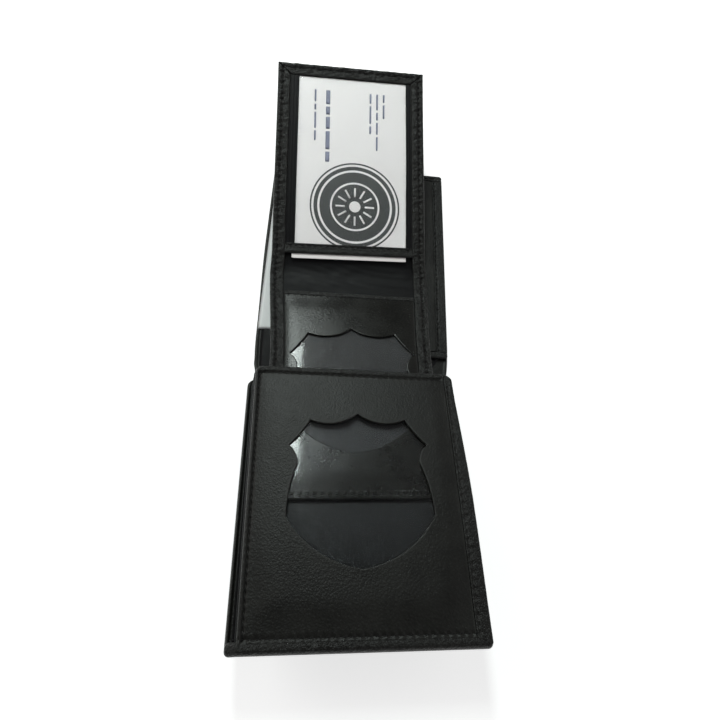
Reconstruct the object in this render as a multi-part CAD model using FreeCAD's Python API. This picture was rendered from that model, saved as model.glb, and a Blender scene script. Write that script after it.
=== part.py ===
import FreeCAD, Part
import math
import os

# Badge wallet, lying open with its badge and card insert half drawn out of the front pocket.
# Millimetres. X is across the wallet, +Y away from the viewer, +Z up.
# The origin is the centre of the rear leaf's underside, which lies flat on the table.

# Leaves and the spine between them
leaf_width = 88.0
leaf_length = 106.0
rear_length = 111.0
cover = 1.2
cover_lining = 0.25
corner_radius = 5.0
end_radius = 1.8
front_corner_radius = 3.0
inner_radius = 1.5
spine_reach = 5.0
spine_inset = 0.7
front_leaf_lift = 11.0
spine_skew = 3.4
pocket_gape = 3.5

# Rear leaf, with a note compartment that opens on the left and a card pocket on top
rear_setback = 11.0
rear_foot = 4.2
edge_inset = 0.6
slip_room = 0.45
divider = 0.25
rear_panel = 0.55
rear_pocket = 0.45
rear_border = 0.55
rear_border_right_width = 5.0
rear_border_end_width = 3.3
rear_border_spine_width = 2.6
rear_pocket_mouth = 9.0
gusset_width = 3.0
groove = 0.3

# Front leaf, with its badge pocket
front_setback = 4.1
gusset_wall = 1.0
pocket_back = 0.7
pocket_edge_left = 5.2
pocket_edge_right = 8.8
pocket_edge_end = 4.4
film = 0.25
panel = 0.8
front_border_width = 5.0
front_border_rise = 0.15
hem = 0.5
hem_width = 2.2
film_mouth_gap = 6.0
mouth_drop = 3.0

# Shield cut-outs of the badge pocket and the insert
shield_height = 58.9
shield_tip_height = 25.0
shield_margin = 1.45
badge_offset = 1.4
shoulder_share = 0.69
waist_share = 0.86

# Badge and card insert
slide_clearance = 0.15
insert_home_gap = 2.3
insert_drawn = 42.8
insert_stand_out = 2.9
insert_leather = 0.7
insert_lining = 0.2
insert_panel = 0.7
insert_border_width = 5.85
insert_panel_drop = 4.2
insert_head_drop = 2.4
insert_end_seam = 3.0

# Fold between the insert and its card flap
fold_radius = 25.0
flap_lift = 28.0

# Card flap
card_slot = 0.8
flap_frame = 0.7
flap_border_width = 6.1
flap_top_border = 5.75
flap_foot = 1.5
strap_width = 4.8
strap_foot = 2.3
card_length = 88.5
card_thickness = 0.5
card_side_gap = 1.4
card_end_gap = 0.15

# Blank paper slip in the rear note compartment
slip_width = 62.0
slip_thickness = 0.2
slip_edge_gap = 1.6
slip_foot_gap = 12.8
slip_head_gap = 9.0

# Seams
stitch_pitch = 3.0
stitch_length = 1.9
stitch_width = 0.5
stitch_rise = 0.12
seam_offset = 1.7
border_seam_offset = 0.9

x_axis = FreeCAD.Vector(1, 0, 0)
z_axis = FreeCAD.Vector(0, 0, 1)


def at(x, y, z):
    return FreeCAD.Placement(FreeCAD.Vector(x, y, z), FreeCAD.Rotation())


def tilt(degrees):
    return FreeCAD.Placement(FreeCAD.Vector(), FreeCAD.Rotation(x_axis, degrees))


def skew(degrees):
    return FreeCAD.Placement(FreeCAD.Vector(), FreeCAD.Rotation(z_axis, degrees))


# Levels and places that several pieces share
half_width = leaf_width / 2
bill_floor = cover + cover_lining
inner_right = half_width - edge_inset
inner_end = edge_inset

front_left = -half_width + front_setback
front_panel_right = inner_right - front_border_width - groove
insert_stack = insert_leather + insert_lining + film + insert_panel
pocket_floor = divider + pocket_back
cavity = insert_stack + hem + 2 * slide_clearance
pocket_film = pocket_floor + cavity
pocket_panel = pocket_film + film
pocket_top = pocket_panel + panel
cavity_left = front_left + pocket_edge_left
cavity_right = inner_right - pocket_edge_right

insert_width = cavity_right - cavity_left - 2 * slide_clearance
insert_centre = (cavity_left + cavity_right) / 2
insert_home = inner_end + pocket_edge_end + insert_home_gap
insert_rest = insert_home + insert_drawn
insert_length = leaf_length - insert_home + insert_stand_out
insert_film = insert_leather + insert_lining
insert_face = insert_film + film
insert_top = insert_face + insert_panel
insert_panel_half = insert_width / 2 - insert_border_width - groove
insert_panel_length = insert_length - insert_panel_drop

shield_half = insert_panel_half - shield_margin
insert_shield_tip = shield_tip_height - insert_home

flap_floor = insert_leather + insert_lining
flap_film = flap_floor + card_slot
flap_face = flap_film + film
flap_top = flap_face + flap_frame
flap_window_half = insert_width / 2 - flap_border_width
flap_window_end = flap_foot + card_length + card_end_gap
flap_length = flap_window_end + flap_top_border

# Each leaf is drawn flat in a frame of its own, with its free or lower end at y = 0 and z = 0 at its back
rear_leaf = at(0, -rear_length / 2, 0)
spine_axis = rear_leaf * at(0, -spine_reach, cover / 2) * skew(spine_skew)
front_leaf = spine_axis * tilt(-front_leaf_lift) * at(0, -spine_reach - leaf_length, -cover / 2)
pocket = front_leaf * at(0, 0, bill_floor) * tilt(pocket_gape)
insert = pocket * at(insert_centre, insert_rest, pocket_floor + slide_clearance)
fold_centre = insert * at(0, insert_length, fold_radius)
flap = fold_centre * tilt(flap_lift) * at(0, 0, -fold_radius)

level = FreeCAD.Placement()
nodes = {}


def keep(name, frame, *solids):
    shape = solids[0] if len(solids) == 1 else Part.makeCompound(list(solids))
    shape.Placement = frame
    nodes[name] = shape


# Flat piece between two corners and two levels
def slab(x0, x1, y0, y1, z0, z1):
    return Part.makeBox(x1 - x0, y1 - y0, z1 - z0, FreeCAD.Vector(x0, y0, z0))


# Flat piece with a straight-sided outline, raised from z0 to z1
def plate(points, z0, z1):
    corners = [FreeCAD.Vector(x, y, z0) for x, y in points]
    face = Part.Face(Part.makePolygon(corners + corners[:1]))
    return face.extrude(FreeCAD.Vector(0, 0, z1 - z0))


# Upright edges of a flat piece
def uprights(block):
    height = block.BoundBox.ZLength
    return [edge for edge in block.Edges if edge.BoundBox.ZLength > height / 2]


# Flat piece whose four upright edges are rounded
def rounded_slab(x0, x1, y0, y1, z0, z1, radius):
    return rounded_plate([(x0, y0), (x1, y0), (x1, y1), (x0, y1)], z0, z1, radius)


# Flat piece with a straight-sided outline and rounded upright edges
def rounded_plate(points, z0, z1, radius):
    block = plate(points, z0, z1)
    return block.makeFillet(radius, uprights(block))


# Flat piece that is rounded more at its far end than at its near end
def leaf_slab(x0, x1, y0, y1, z0, z1, near_radius, far_radius):
    block = slab(x0, x1, y0, y1, z0, z1)
    middle = (y0 + y1) / 2
    far_edges = [edge for edge in uprights(block) if edge.BoundBox.YMin > middle]
    block = block.makeFillet(far_radius, far_edges)
    near_edges = [edge for edge in uprights(block) if edge.BoundBox.YMax < middle]
    return block.makeFillet(near_radius, near_edges)


# Profile in the Y-Z plane, carried across the wallet from x0 to x1
def across(points, x0, x1):
    corners = [FreeCAD.Vector(x0, y, z) for y, z in points]
    face = Part.Face(Part.makePolygon(corners + corners[:1]))
    return face.extrude(FreeCAD.Vector(x1 - x0, 0, 0))


# Shield with its tip at (0, y0): round flanks, a waist, sharp corners and shoulders, and a peak
def shield(y0, z0, z1):
    tip = (0, 0)
    flank = (0.635 * shield_half, 0.12 * shield_height)
    belly = (shield_half, 0.31 * shield_height)
    side = (0.965 * shield_half, 0.48 * shield_height)
    waist = (waist_share * shield_half, 0.65 * shield_height)
    neck = (0.89 * shield_half, 0.72 * shield_height)
    corner = (0.99 * shield_half, 0.775 * shield_height)
    brow = (0.83 * shield_half, 0.86 * shield_height)
    shoulder = (shoulder_share * shield_half, 0.956 * shield_height)
    dip = (0.38 * shield_half, 0.93 * shield_height)
    peak = (0, shield_height)
    arcs = [(tip, flank, belly), (belly, side, waist), (waist, neck, corner), (corner, brow, shoulder),
            (shoulder, dip, peak)]
    edges = []
    for sign in (1, -1):
        for bend in arcs:
            ends = [FreeCAD.Vector(sign * x, y0 + y, z0) for x, y in bend]
            edges.append(Part.Arc(*ends).toShape())
    outline = Part.Wire(Part.__sortEdges__(edges))
    return Part.Face(outline).extrude(FreeCAD.Vector(0, 0, z1 - z0))


# Row of thread runs on a face at level z, along X or along Y
def seam(x0, y0, x1, y1, z):
    length = max(x1 - x0, y1 - y0)
    count = int(length / stitch_pitch)
    step = length / count
    along_x = x1 - x0 > y1 - y0
    half_x = (stitch_length if along_x else stitch_width) / 2
    half_y = (stitch_width if along_x else stitch_length) / 2
    runs = []
    for index in range(count):
        reach = (index + 0.5) * step
        x = x0 + reach if along_x else x0
        y = y0 if along_x else y0 + reach
        runs.append(slab(x - half_x, x + half_x, y - half_y, y + half_y, z, z + stitch_rise))
    return runs


# Curved band of the fold, between two depths measured from its back face
def fold_band(x0, x1, back, front):
    def point(radius, degrees):
        turn = math.radians(degrees)
        return FreeCAD.Vector(x0, radius * math.sin(turn), -radius * math.cos(turn))

    outer = fold_radius - back
    inner = fold_radius - front
    rim = Part.Arc(point(outer, 0), point(outer, flap_lift / 2), point(outer, flap_lift)).toShape()
    end = Part.makeLine(point(outer, flap_lift), point(inner, flap_lift))
    throat = Part.Arc(point(inner, flap_lift), point(inner, flap_lift / 2), point(inner, 0)).toShape()
    start = Part.makeLine(point(inner, 0), point(outer, 0))
    face = Part.Face(Part.Wire([rim, end, throat, start]))
    return face.extrude(FreeCAD.Vector(x1 - x0, 0, 0))


def make_rear_leaf():
    inner_left = -half_width + rear_setback
    divider_floor = bill_floor + slip_room
    panel_floor = divider_floor + divider
    pocket_level = panel_floor + rear_panel
    border_top = pocket_level + rear_border
    inner_length = rear_length - inner_end
    border_x = inner_right - rear_border_right_width
    border_foot = rear_foot + rear_border_spine_width
    border_y = inner_length - rear_border_end_width
    keep("rear_cover", rear_leaf,
         rounded_slab(-half_width, half_width, 0, rear_length, 0, cover, end_radius))
    keep("rear_cover_lining", rear_leaf,
         rounded_slab(-half_width + edge_inset, inner_right, 0, inner_length, cover, bill_floor, end_radius))
    keep("rear_gusset", rear_leaf,
         slab(inner_right - corner_radius - gusset_width, inner_right - corner_radius,
              rear_foot, inner_length - gusset_width, bill_floor, divider_floor),
         slab(inner_left + corner_radius, inner_right - corner_radius,
              inner_length - gusset_width, inner_length, bill_floor, divider_floor))
    keep("rear_divider", rear_leaf,
         rounded_slab(inner_left, inner_right, rear_foot, inner_length, divider_floor, panel_floor,
                      inner_radius))
    keep("rear_panel", rear_leaf,
         rounded_slab(inner_left, inner_right, rear_foot, inner_length, panel_floor, pocket_level,
                      inner_radius))
    keep("rear_card_pocket", rear_leaf,
         slab(inner_left + rear_pocket_mouth, border_x - groove, border_foot + groove,
              border_y - groove, pocket_level, pocket_level + rear_pocket))
    keep("rear_border_right", rear_leaf,
         slab(border_x, inner_right, border_foot, border_y, pocket_level, border_top))
    keep("rear_border_end", rear_leaf,
         slab(inner_left, inner_right, border_y, inner_length, pocket_level, border_top))
    keep("rear_border_spine", rear_leaf,
         slab(inner_left, inner_right, rear_foot, border_foot, pocket_level, border_top))
    seam_x = border_x + border_seam_offset
    seam_y = inner_length - seam_offset
    runs = seam(seam_x, border_foot, seam_x, border_y, border_top)
    runs += seam(inner_left + seam_offset, seam_y, seam_x, seam_y, border_top)
    keep("rear_stitches", rear_leaf, *runs)
    slip_x = -half_width + slip_edge_gap
    slip_z = bill_floor + (slip_room - slip_thickness) / 2
    keep("paper_slip", rear_leaf,
         slab(slip_x, slip_x + slip_width, slip_foot_gap, inner_length - slip_head_gap,
              slip_z, slip_z + slip_thickness))


# Two layers that bend with the spine, from the rear leaf's end to the front leaf's end
def make_spine():
    bend = math.radians(front_leaf_lift)

    def bent_strip(low, high):
        def rear_point(z):
            return (2 * spine_reach, z)

        def middle_point(z):
            reach = z / math.cos(bend / 2)
            return (reach * math.sin(bend / 2), reach * math.cos(bend / 2))

        def front_point(z):
            return (z * math.sin(bend) - spine_reach * math.cos(bend),
                    z * math.cos(bend) + spine_reach * math.sin(bend))

        profile = [rear_point(low), rear_point(high), middle_point(high), front_point(high),
                   front_point(low), middle_point(low)]
        strip = across(profile, -half_width + spine_inset, half_width - spine_inset)
        strip.Placement = spine_axis
        return strip.cut(rear_space)

    skin = cover / 2
    rear_space = slab(-leaf_width, leaf_width, 0, rear_length, -leaf_width, leaf_width)
    rear_space.Placement = rear_leaf
    keep("spine_strip", level, bent_strip(-skin, skin))
    keep("spine_lining", level, bent_strip(skin, skin + cover_lining))


def make_front_leaf():
    keep("front_cover", front_leaf,
         leaf_slab(-half_width, half_width, 0, leaf_length, 0, cover, end_radius, front_corner_radius))
    keep("front_cover_lining", front_leaf,
         leaf_slab(-half_width + edge_inset, inner_right, inner_end, leaf_length, cover, bill_floor,
                   end_radius, front_corner_radius))
    slope = math.tan(math.radians(pocket_gape))
    near = corner_radius
    far = leaf_length - corner_radius
    wedge = [(near, 0), (far, 0), (far, far * slope), (near, near * slope)]
    keep("front_gusset", front_leaf * at(0, 0, bill_floor),
         across(wedge, inner_right - corner_radius / 2 - gusset_wall, inner_right - corner_radius / 2))
    keep("front_divider", pocket,
         rounded_slab(front_left, inner_right, 0, leaf_length, 0, divider, inner_radius))
    keep("pocket_back", pocket,
         rounded_slab(front_left, inner_right, inner_end, leaf_length, divider, pocket_floor, inner_radius))
    end_edge = inner_end + pocket_edge_end
    keep("pocket_edge_left", pocket,
         slab(front_left, cavity_left, end_edge, leaf_length, pocket_floor, pocket_panel))
    keep("pocket_edge_right", pocket,
         slab(cavity_right, inner_right, end_edge, leaf_length, pocket_floor, pocket_panel))
    keep("pocket_edge_end", pocket,
         rounded_slab(front_left, inner_right, inner_end, end_edge, pocket_floor, pocket_panel, inner_radius))
    keep("badge_window", pocket,
         slab(cavity_left, cavity_right, end_edge, leaf_length - film_mouth_gap, pocket_film, pocket_panel))
    opening = shield(shield_tip_height, pocket_panel, pocket_top)
    opening.translate(FreeCAD.Vector(insert_centre + badge_offset, 0, 0))
    mouth_left = (front_left, leaf_length)
    mouth_right = (front_panel_right, leaf_length - mouth_drop)
    outline = [(front_left, inner_end), (front_panel_right, inner_end), mouth_right, mouth_left]
    keep("badge_panel", pocket,
         rounded_plate(outline, pocket_panel, pocket_top, inner_radius).cut(opening))
    mouth_angle = math.degrees(math.atan2(mouth_right[1] - mouth_left[1], mouth_right[0] - mouth_left[0]))
    mouth_length = math.hypot(mouth_right[0] - mouth_left[0], mouth_right[1] - mouth_left[1])
    mouth = pocket * at(mouth_left[0], mouth_left[1], pocket_top) * skew(mouth_angle)
    keep("badge_panel_hem", mouth, slab(inner_radius, mouth_length - inner_radius, -hem_width, 0, 0, hem))
    border_top = pocket_top + front_border_rise
    keep("front_border", pocket,
         rounded_slab(front_panel_right + groove, inner_right, inner_end, leaf_length - mouth_drop,
                      pocket_panel, border_top, inner_radius))
    left_x = front_left + seam_offset
    right_x = front_panel_right + groove + border_seam_offset
    end_y = inner_end + 2 * seam_offset
    hem_y = leaf_length - hem_width - stitch_width
    runs = seam(left_x, end_y, left_x, hem_y - stitch_pitch, pocket_top)
    runs += seam(right_x, end_y, right_x, hem_y, border_top)
    runs += seam(left_x, end_y, front_panel_right - seam_offset, end_y, pocket_top)
    keep("front_stitches", pocket, *runs)
    thread_y = -hem_width - stitch_width
    keep("mouth_stitches", mouth, *seam(seam_offset, thread_y, mouth_length - seam_offset, thread_y, 0))


def make_insert():
    half = insert_width / 2
    inside = half - insert_border_width
    keep("insert_back", insert, slab(-half, half, 0, insert_length, 0, insert_leather))
    keep("insert_lining", insert, slab(-half, half, 0, insert_length, insert_leather, insert_film))
    keep("insert_border_left", insert, slab(-half, -inside, 0, insert_length, insert_film, insert_top))
    keep("insert_border_right", insert, slab(inside, half, 0, insert_length, insert_film, insert_top))
    keep("insert_end_seam", insert,
         slab(-insert_panel_half, insert_panel_half, 0, insert_end_seam, insert_film, insert_face))
    keep("insert_window", insert,
         slab(-insert_panel_half, insert_panel_half, insert_end_seam, insert_panel_length - film_mouth_gap,
              insert_film, insert_face))
    opening = shield(insert_shield_tip, insert_face, insert_top)
    head_right = insert_panel_length - insert_head_drop
    outline = [(-insert_panel_half, 0), (insert_panel_half, 0), (insert_panel_half, head_right),
               (-insert_panel_half, insert_panel_length)]
    keep("insert_badge_panel", insert, plate(outline, insert_face, insert_top).cut(opening))
    head_angle = math.atan2(-insert_head_drop, 2 * insert_panel_half)
    head_length = 2 * insert_panel_half / math.cos(head_angle)
    head = at(-insert_panel_half, insert_panel_length, insert_top) * skew(math.degrees(head_angle))
    keep("insert_panel_hem", insert * head, slab(hem, head_length - hem, -hem_width, 0, 0, hem))
    seam_x = half - seam_offset
    runs = seam(-seam_x, 0, -seam_x, insert_length, insert_top)
    runs += seam(seam_x, 0, seam_x, insert_length, insert_top)
    runs += seam(-insert_panel_half, seam_offset, insert_panel_half, seam_offset, insert_top)
    for run in seam(hem, -hem_width - stitch_width, head_length - hem, -hem_width - stitch_width, 0):
        run.Placement = head
        runs.append(run)
    keep("insert_stitches", insert, *runs)
    keep("fold_leather", fold_centre, fold_band(-half, half, 0, insert_leather))
    keep("fold_lining", fold_centre, fold_band(-half, half, insert_leather, insert_film))
    keep("fold_borders", fold_centre, fold_band(-half, -inside, insert_film, insert_top),
         fold_band(inside, half, insert_film, insert_top))


def make_flap():
    half = insert_width / 2
    window = flap_window_half
    keep("flap_back", flap, slab(-half, half, 0, flap_length, 0, insert_leather))
    keep("flap_lining", flap, slab(-half, half, 0, flap_length, insert_leather, flap_floor))
    for name, side in (("flap_border_left", -1), ("flap_border_right", 1)):
        outer = side * half
        inner = side * window
        outline = [(outer, 0), (inner, 0), (inner, flap_window_end), (outer, flap_length)]
        keep(name, flap, plate(outline, flap_floor, flap_top))
    outline = [(-window, flap_window_end), (window, flap_window_end),
               (half, flap_length), (-half, flap_length)]
    keep("flap_border_top", flap, plate(outline, flap_floor, flap_top))
    strap_y = flap_foot + strap_foot
    keep("flap_window", flap, slab(-window, window, strap_y, flap_window_end, flap_film, flap_face))
    keep("card_strap", flap, slab(-window, window, strap_y, strap_y + strap_width, flap_face, flap_top))
    seam_x = half - seam_offset
    seam_y = flap_length - seam_offset
    strap_seam = strap_y + strap_width - stitch_width
    runs = seam(-seam_x, 0, -seam_x, seam_y, flap_top)
    runs += seam(seam_x, 0, seam_x, seam_y, flap_top)
    runs += seam(-seam_x, seam_y, seam_x, seam_y, flap_top)
    runs += seam(-window, strap_seam, window, strap_seam, flap_top)
    keep("flap_stitches", flap, *runs)
    card_half = window - card_side_gap
    card_z = flap_floor + (card_slot - card_thickness) / 2
    keep("id_card", flap,
         rounded_slab(-card_half, card_half, flap_foot, flap_foot + card_length,
                      card_z, card_z + card_thickness, inner_radius))


make_rear_leaf()
make_spine()
make_front_leaf()
make_insert()
make_flap()

os.makedirs("parts", exist_ok=True)
for name, shape in nodes.items():
    shape.exportStep("parts/" + name + ".step")

box = Part.makeCompound(list(nodes.values())).BoundBox
sizes = [round(size, 1) for size in (box.XLength, box.YLength, box.ZLength)]
print(len(nodes), "pieces in a box of", sizes, "mm")
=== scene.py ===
import bpy
import numpy as np
from mathutils import Matrix


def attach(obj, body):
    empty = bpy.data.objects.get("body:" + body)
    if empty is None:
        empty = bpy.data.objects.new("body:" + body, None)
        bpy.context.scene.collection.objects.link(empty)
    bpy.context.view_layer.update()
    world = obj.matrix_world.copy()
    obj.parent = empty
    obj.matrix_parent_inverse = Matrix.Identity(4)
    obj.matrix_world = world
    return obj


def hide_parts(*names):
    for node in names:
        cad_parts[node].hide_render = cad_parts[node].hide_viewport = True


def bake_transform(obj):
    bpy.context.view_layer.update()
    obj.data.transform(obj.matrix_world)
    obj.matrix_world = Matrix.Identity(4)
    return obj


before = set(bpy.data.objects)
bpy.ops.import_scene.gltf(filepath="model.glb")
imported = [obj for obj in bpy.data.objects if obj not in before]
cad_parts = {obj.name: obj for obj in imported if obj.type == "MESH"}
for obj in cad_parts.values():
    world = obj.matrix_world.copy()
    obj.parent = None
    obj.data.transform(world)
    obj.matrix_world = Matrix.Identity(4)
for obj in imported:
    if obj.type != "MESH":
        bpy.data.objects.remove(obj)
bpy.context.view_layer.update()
print("frame loaded:", len(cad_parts), "nodes")

# Lengths are millimetres in each leaf's own flat frame, and metres once a piece is put in its place
mm = 0.001

wallet = {
    "leafWidth": 88.0, "leafLength": 106.0, "rearLength": 111.0,
    "cover": 1.2, "coverLining": 0.25, "edgeInset": 0.6,
    "cornerRadius": 5.0, "frontCorner": 3.0, "endRadius": 1.8, "innerRadius": 1.5,
    "spineReach": 5.0, "spineInset": 0.7, "frontLift": 11.0, "spineSkew": 3.4, "pocketGape": 3.5,
    "frontSetback": 4.1, "rearSetback": 11.0, "rearFoot": 4.2,
    "groove": 0.3, "film": 0.25, "hemWidth": 2.2, "divider": 0.25,
    "pocketFloor": 0.95, "pocketPanel": 3.85, "pocketTop": 4.65,
    "insertWidth": 69.0, "insertCentre": -0.05, "insertRest": 50.1, "insertLength": 101.6,
    "slideClearance": 0.15, "insertLeather": 0.7, "insertFloor": 0.9, "insertFace": 1.15, "insertTop": 1.85,
    "foldRadius": 25.0, "flapLift": 28.0, "flapLength": 95.9, "flapTop": 2.65,
    "flapShear": 0.024, "shearRun": 45.0,
    "stitchPitch": 2.7, "seamOffset": 1.8, "hair": 0.02,
}
halfWidth = wallet["leafWidth"] / 2
innerRight = halfWidth - wallet["edgeInset"]
innerEnd = wallet["edgeInset"]
billFloor = wallet["cover"] + wallet["coverLining"]
foldStart = wallet["insertLength"]                 # where the insert's fold starts, measured along the insert
foldTurn = np.radians(wallet["flapLift"])
foldRun = wallet["foldRadius"] * foldTurn          # length of the fold's arc along the insert's back
flapFoot = foldStart + foldRun                     # where the flat flap starts
foldMiddle = foldStart + foldRun / 2
insertEnd = flapFoot + wallet["flapLength"]

# Soft pieces widen by this share toward the insert's fold, and lose part of it again on the flap
spread = {
    "most": 0.064, "before": 42.0, "run": 52.0, "delay": 4.0,
    "foldFade": 0.3, "foldFadeRun": 15.0, "flapFade": 0.45, "flapFadeRun": 95.0,
}


# 0 before 0, 1 after 1, and 3t^2 - 2t^3 between
def smooth(t):
    t = np.clip(t, 0, 1)
    return t * t * (3 - 2 * t)


# Bell of height 1: exp(-(t / width)^2)
def bell(t, width):
    return np.exp(-(t / width) ** 2)


# Slow wander between -1 and 1 over a surface: the mean of three crossed sines
def wander(x, y, length, seed):
    a, b = x * 2 * np.pi / length, y * 2 * np.pi / length
    return (np.sin(a + 0.7 * b + seed) + np.sin(0.6 * a - 1.1 * b + 2.3 * seed)
            + np.sin(-0.4 * a + 1.7 * b + 4.1 * seed)) / 3


# Rolled edge: half a sine of that height, from the edge to the roll's width
def rolled(reach, width, height):
    return height * np.sin(np.pi * np.clip(reach / width, 0, 1))


# Fine creases of border leather: a short wander, and a shorter and weaker one across it
def crinkled(x, y, height, seed):
    return height * (wander(x, 0.6 * y, 4.3, seed) + 0.7 * wander(0.8 * x, y, 2.2, seed + 2))


# A move along the axes as a 4 x 4 matrix
def shifted(x, y, z):
    made = np.eye(4)
    made[:3, 3] = (x, y, z)
    return made


# A turn about X: y and z go round by the angle
def tilted(degrees):
    c, s = np.cos(np.radians(degrees)), np.sin(np.radians(degrees))
    return np.array([[1, 0, 0, 0], [0, c, -s, 0], [0, s, c, 0], [0, 0, 0, 1.0]])


# A turn about Z: x and y go round by the angle
def skewed(degrees):
    c, s = np.cos(np.radians(degrees)), np.sin(np.radians(degrees))
    return np.array([[c, -s, 0, 0], [s, c, 0, 0], [0, 0, 1, 0], [0, 0, 0, 1.0]])


rearFrame = shifted(0, -wallet["rearLength"] / 2, 0)
spineFrame = rearFrame @ shifted(0, -wallet["spineReach"], wallet["cover"] / 2)
spineFold = spineFrame @ skewed(wallet["spineSkew"]) @ tilted(-wallet["frontLift"])
frontFrame = spineFold @ shifted(0, -wallet["spineReach"] - wallet["leafLength"], -wallet["cover"] / 2)
pocketFrame = frontFrame @ shifted(0, 0, billFloor) @ tilted(wallet["pocketGape"])
insertFrame = pocketFrame @ shifted(wallet["insertCentre"], wallet["insertRest"],
                                    wallet["pocketFloor"] + wallet["slideClearance"])


# Flat millimetres to metres in place: one matrix times every point
def putBy(matrix):

    # turn and move by the matrix, then metres
    def put(x, y, z):
        spots = np.stack(np.broadcast_arrays(x, y, z), -1) @ matrix[:3, :3].T + matrix[:3, 3]
        return spots * mm
    return put


putRear = putBy(rearFrame)
putFront = putBy(frontFrame)
putPocket = putBy(pocketFrame)
putInsert = putBy(insertFrame)


# Along the wallet's length from the spine's axis: rear leaf where s > reach, front leaf where s < -reach,
# and between them both turns grow from none to full by a smooth step
def putSpine(x, s, z):
    reach = wallet["spineReach"]
    share = smooth((reach - s) / (2 * reach))
    tilt = -np.radians(wallet["frontLift"]) * share
    skew = np.radians(wallet["spineSkew"]) * share
    height = z - wallet["cover"] / 2
    y = s * np.cos(tilt) - height * np.sin(tilt)
    return putBy(spineFrame)(x * np.cos(skew) - y * np.sin(skew), x * np.sin(skew) + y * np.cos(skew),
                             s * np.sin(tilt) + height * np.cos(tilt))


# Along the insert: straight to the fold, round an arc about the fold's centre, then straight up the flap,
# which is sheared a little to one side
def putArc(x, s, z):
    s = s - x * wallet["flapShear"] * smooth((s - foldStart) / wallet["shearRun"])
    turn = np.clip((s - foldStart) / wallet["foldRadius"], 0, foldTurn)
    past = np.maximum(s - flapFoot, 0)
    inner = wallet["foldRadius"] - z
    y = np.minimum(s, foldStart) + inner * np.sin(turn) + past * np.cos(turn)
    return putInsert(x, y, wallet["foldRadius"] - inner * np.cos(turn) + past * np.sin(turn))


# The same for soft pieces: widths grow by a smooth step before the fold, and shrink by two more after it
def putFold(x, s, z):
    fade = spread["foldFade"] * smooth((s - foldStart - spread["delay"]) / spread["foldFadeRun"])
    fade = fade + spread["flapFade"] * smooth((s - flapFoot - spread["delay"]) / spread["flapFadeRun"])
    grow = smooth((s - foldStart + spread["before"]) / spread["run"]) * (1 - fade)
    return putArc(x * (1 + spread["most"] * grow), s, z)


# How the sheets are gridded: round edges in a few rows, and rows close together at marks and seams
quarter = np.linspace(0, np.pi / 2, 5)
edgeCurl = 1 - np.cos(quarter)
grid = {
    "close": (0, 0.2, 0.45, 0.8, 1.2), "leastStep": 0.04, "leastEdgeStep": 0.01, "rubAndRimHighlight": 0.55,
    "arcPoints": 6, "leastBend": 0.05,
}
panelGrid = {
    "step": 0.45, "rounding": 0.4, "rubAndRimHighlight": 0.5, "spanRows": 18, "spanReach": 9.0,
    "holeGaps": (1.1, 0.75, 0.5),
    "insets": (0.6, 0.85, 1.1, 1.35, 1.55, 1.7, 1.8, 1.9, 2.05, 2.25, 2.5, 2.7, 2.9, 3.15, 3.4, 3.6, 3.8,
               4.1, 4.8, 5.6),
}


# Places from low to high: crowded by 1 - cos at both edges, even between, and close together at each mark
def places(low, high, edge, step, marks=(), close=grid["close"]):
    curl = edge * edgeCurl
    count = max(2, int((high - low - 2 * edge) / step) + 1)
    even = np.linspace(low + edge, high - edge, count)
    near = np.add.outer(np.array(marks, float), np.r_[-np.array(close), close]).ravel()
    near = near[(near > low + edge) & (near < high - edge)]
    found = np.unique(np.r_[low + curl, even, near, high - curl])
    kept = np.r_[True, np.diff(found) > grid["leastStep"]]
    kept[-1] = True
    kept[-2] = kept[-2] and found[-1] - found[-2] > grid["leastEdgeStep"]
    return found[kept]


# Four-cornered faces of a grid of point numbers: each point, the next along, both across, in turn
def quads(ids):
    return np.stack([ids[:-1, :-1], ids[1:, :-1], ids[1:, 1:], ids[:-1, 1:]], -1).reshape(-1, 4)


# Faces of a grid that closes on itself both ways: its first row and column follow its last
def ringQuads(ids):
    return quads(np.pad(ids, ((0, 1), (0, 1)), "wrap"))


# Height over a surface, given as one number or as a function of the place
def heightAt(height, x, y):
    return (height(x, y) if callable(height) else height) + 0 * x


# Upper and lower face: mid height plus and minus half the thickness, times a quarter circle at the edge
def bothFaces(x, y, bottom, top, reach, rounding):
    low, high = heightAt(bottom, x, y), heightAt(top, x, y)
    swell = np.sqrt(1 - (1 - np.clip(reach / rounding, 0, 1)) ** 2)
    middle, half = (low + high) / 2, (high - low) / 2 * swell
    return np.stack([x, y, middle + half], -1), np.stack([x, y, middle - half], -1)


# Square corners made round: in each corner's own square a point comes in by its longer side over its distance
def roundCorners(x, y, low, high, radius):
    cx = np.clip(x, low[0] + radius, high[0] - radius)
    cy = np.clip(y, low[1] + radius, high[1] - radius)
    dx, dy = x - cx, y - cy
    far = np.hypot(dx, dy)
    shrink = np.where(far > 0, np.maximum(abs(dx), abs(dy)) / np.maximum(far, 1e-9), 1)
    return cx + dx * shrink, cy + dy * shrink


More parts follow.
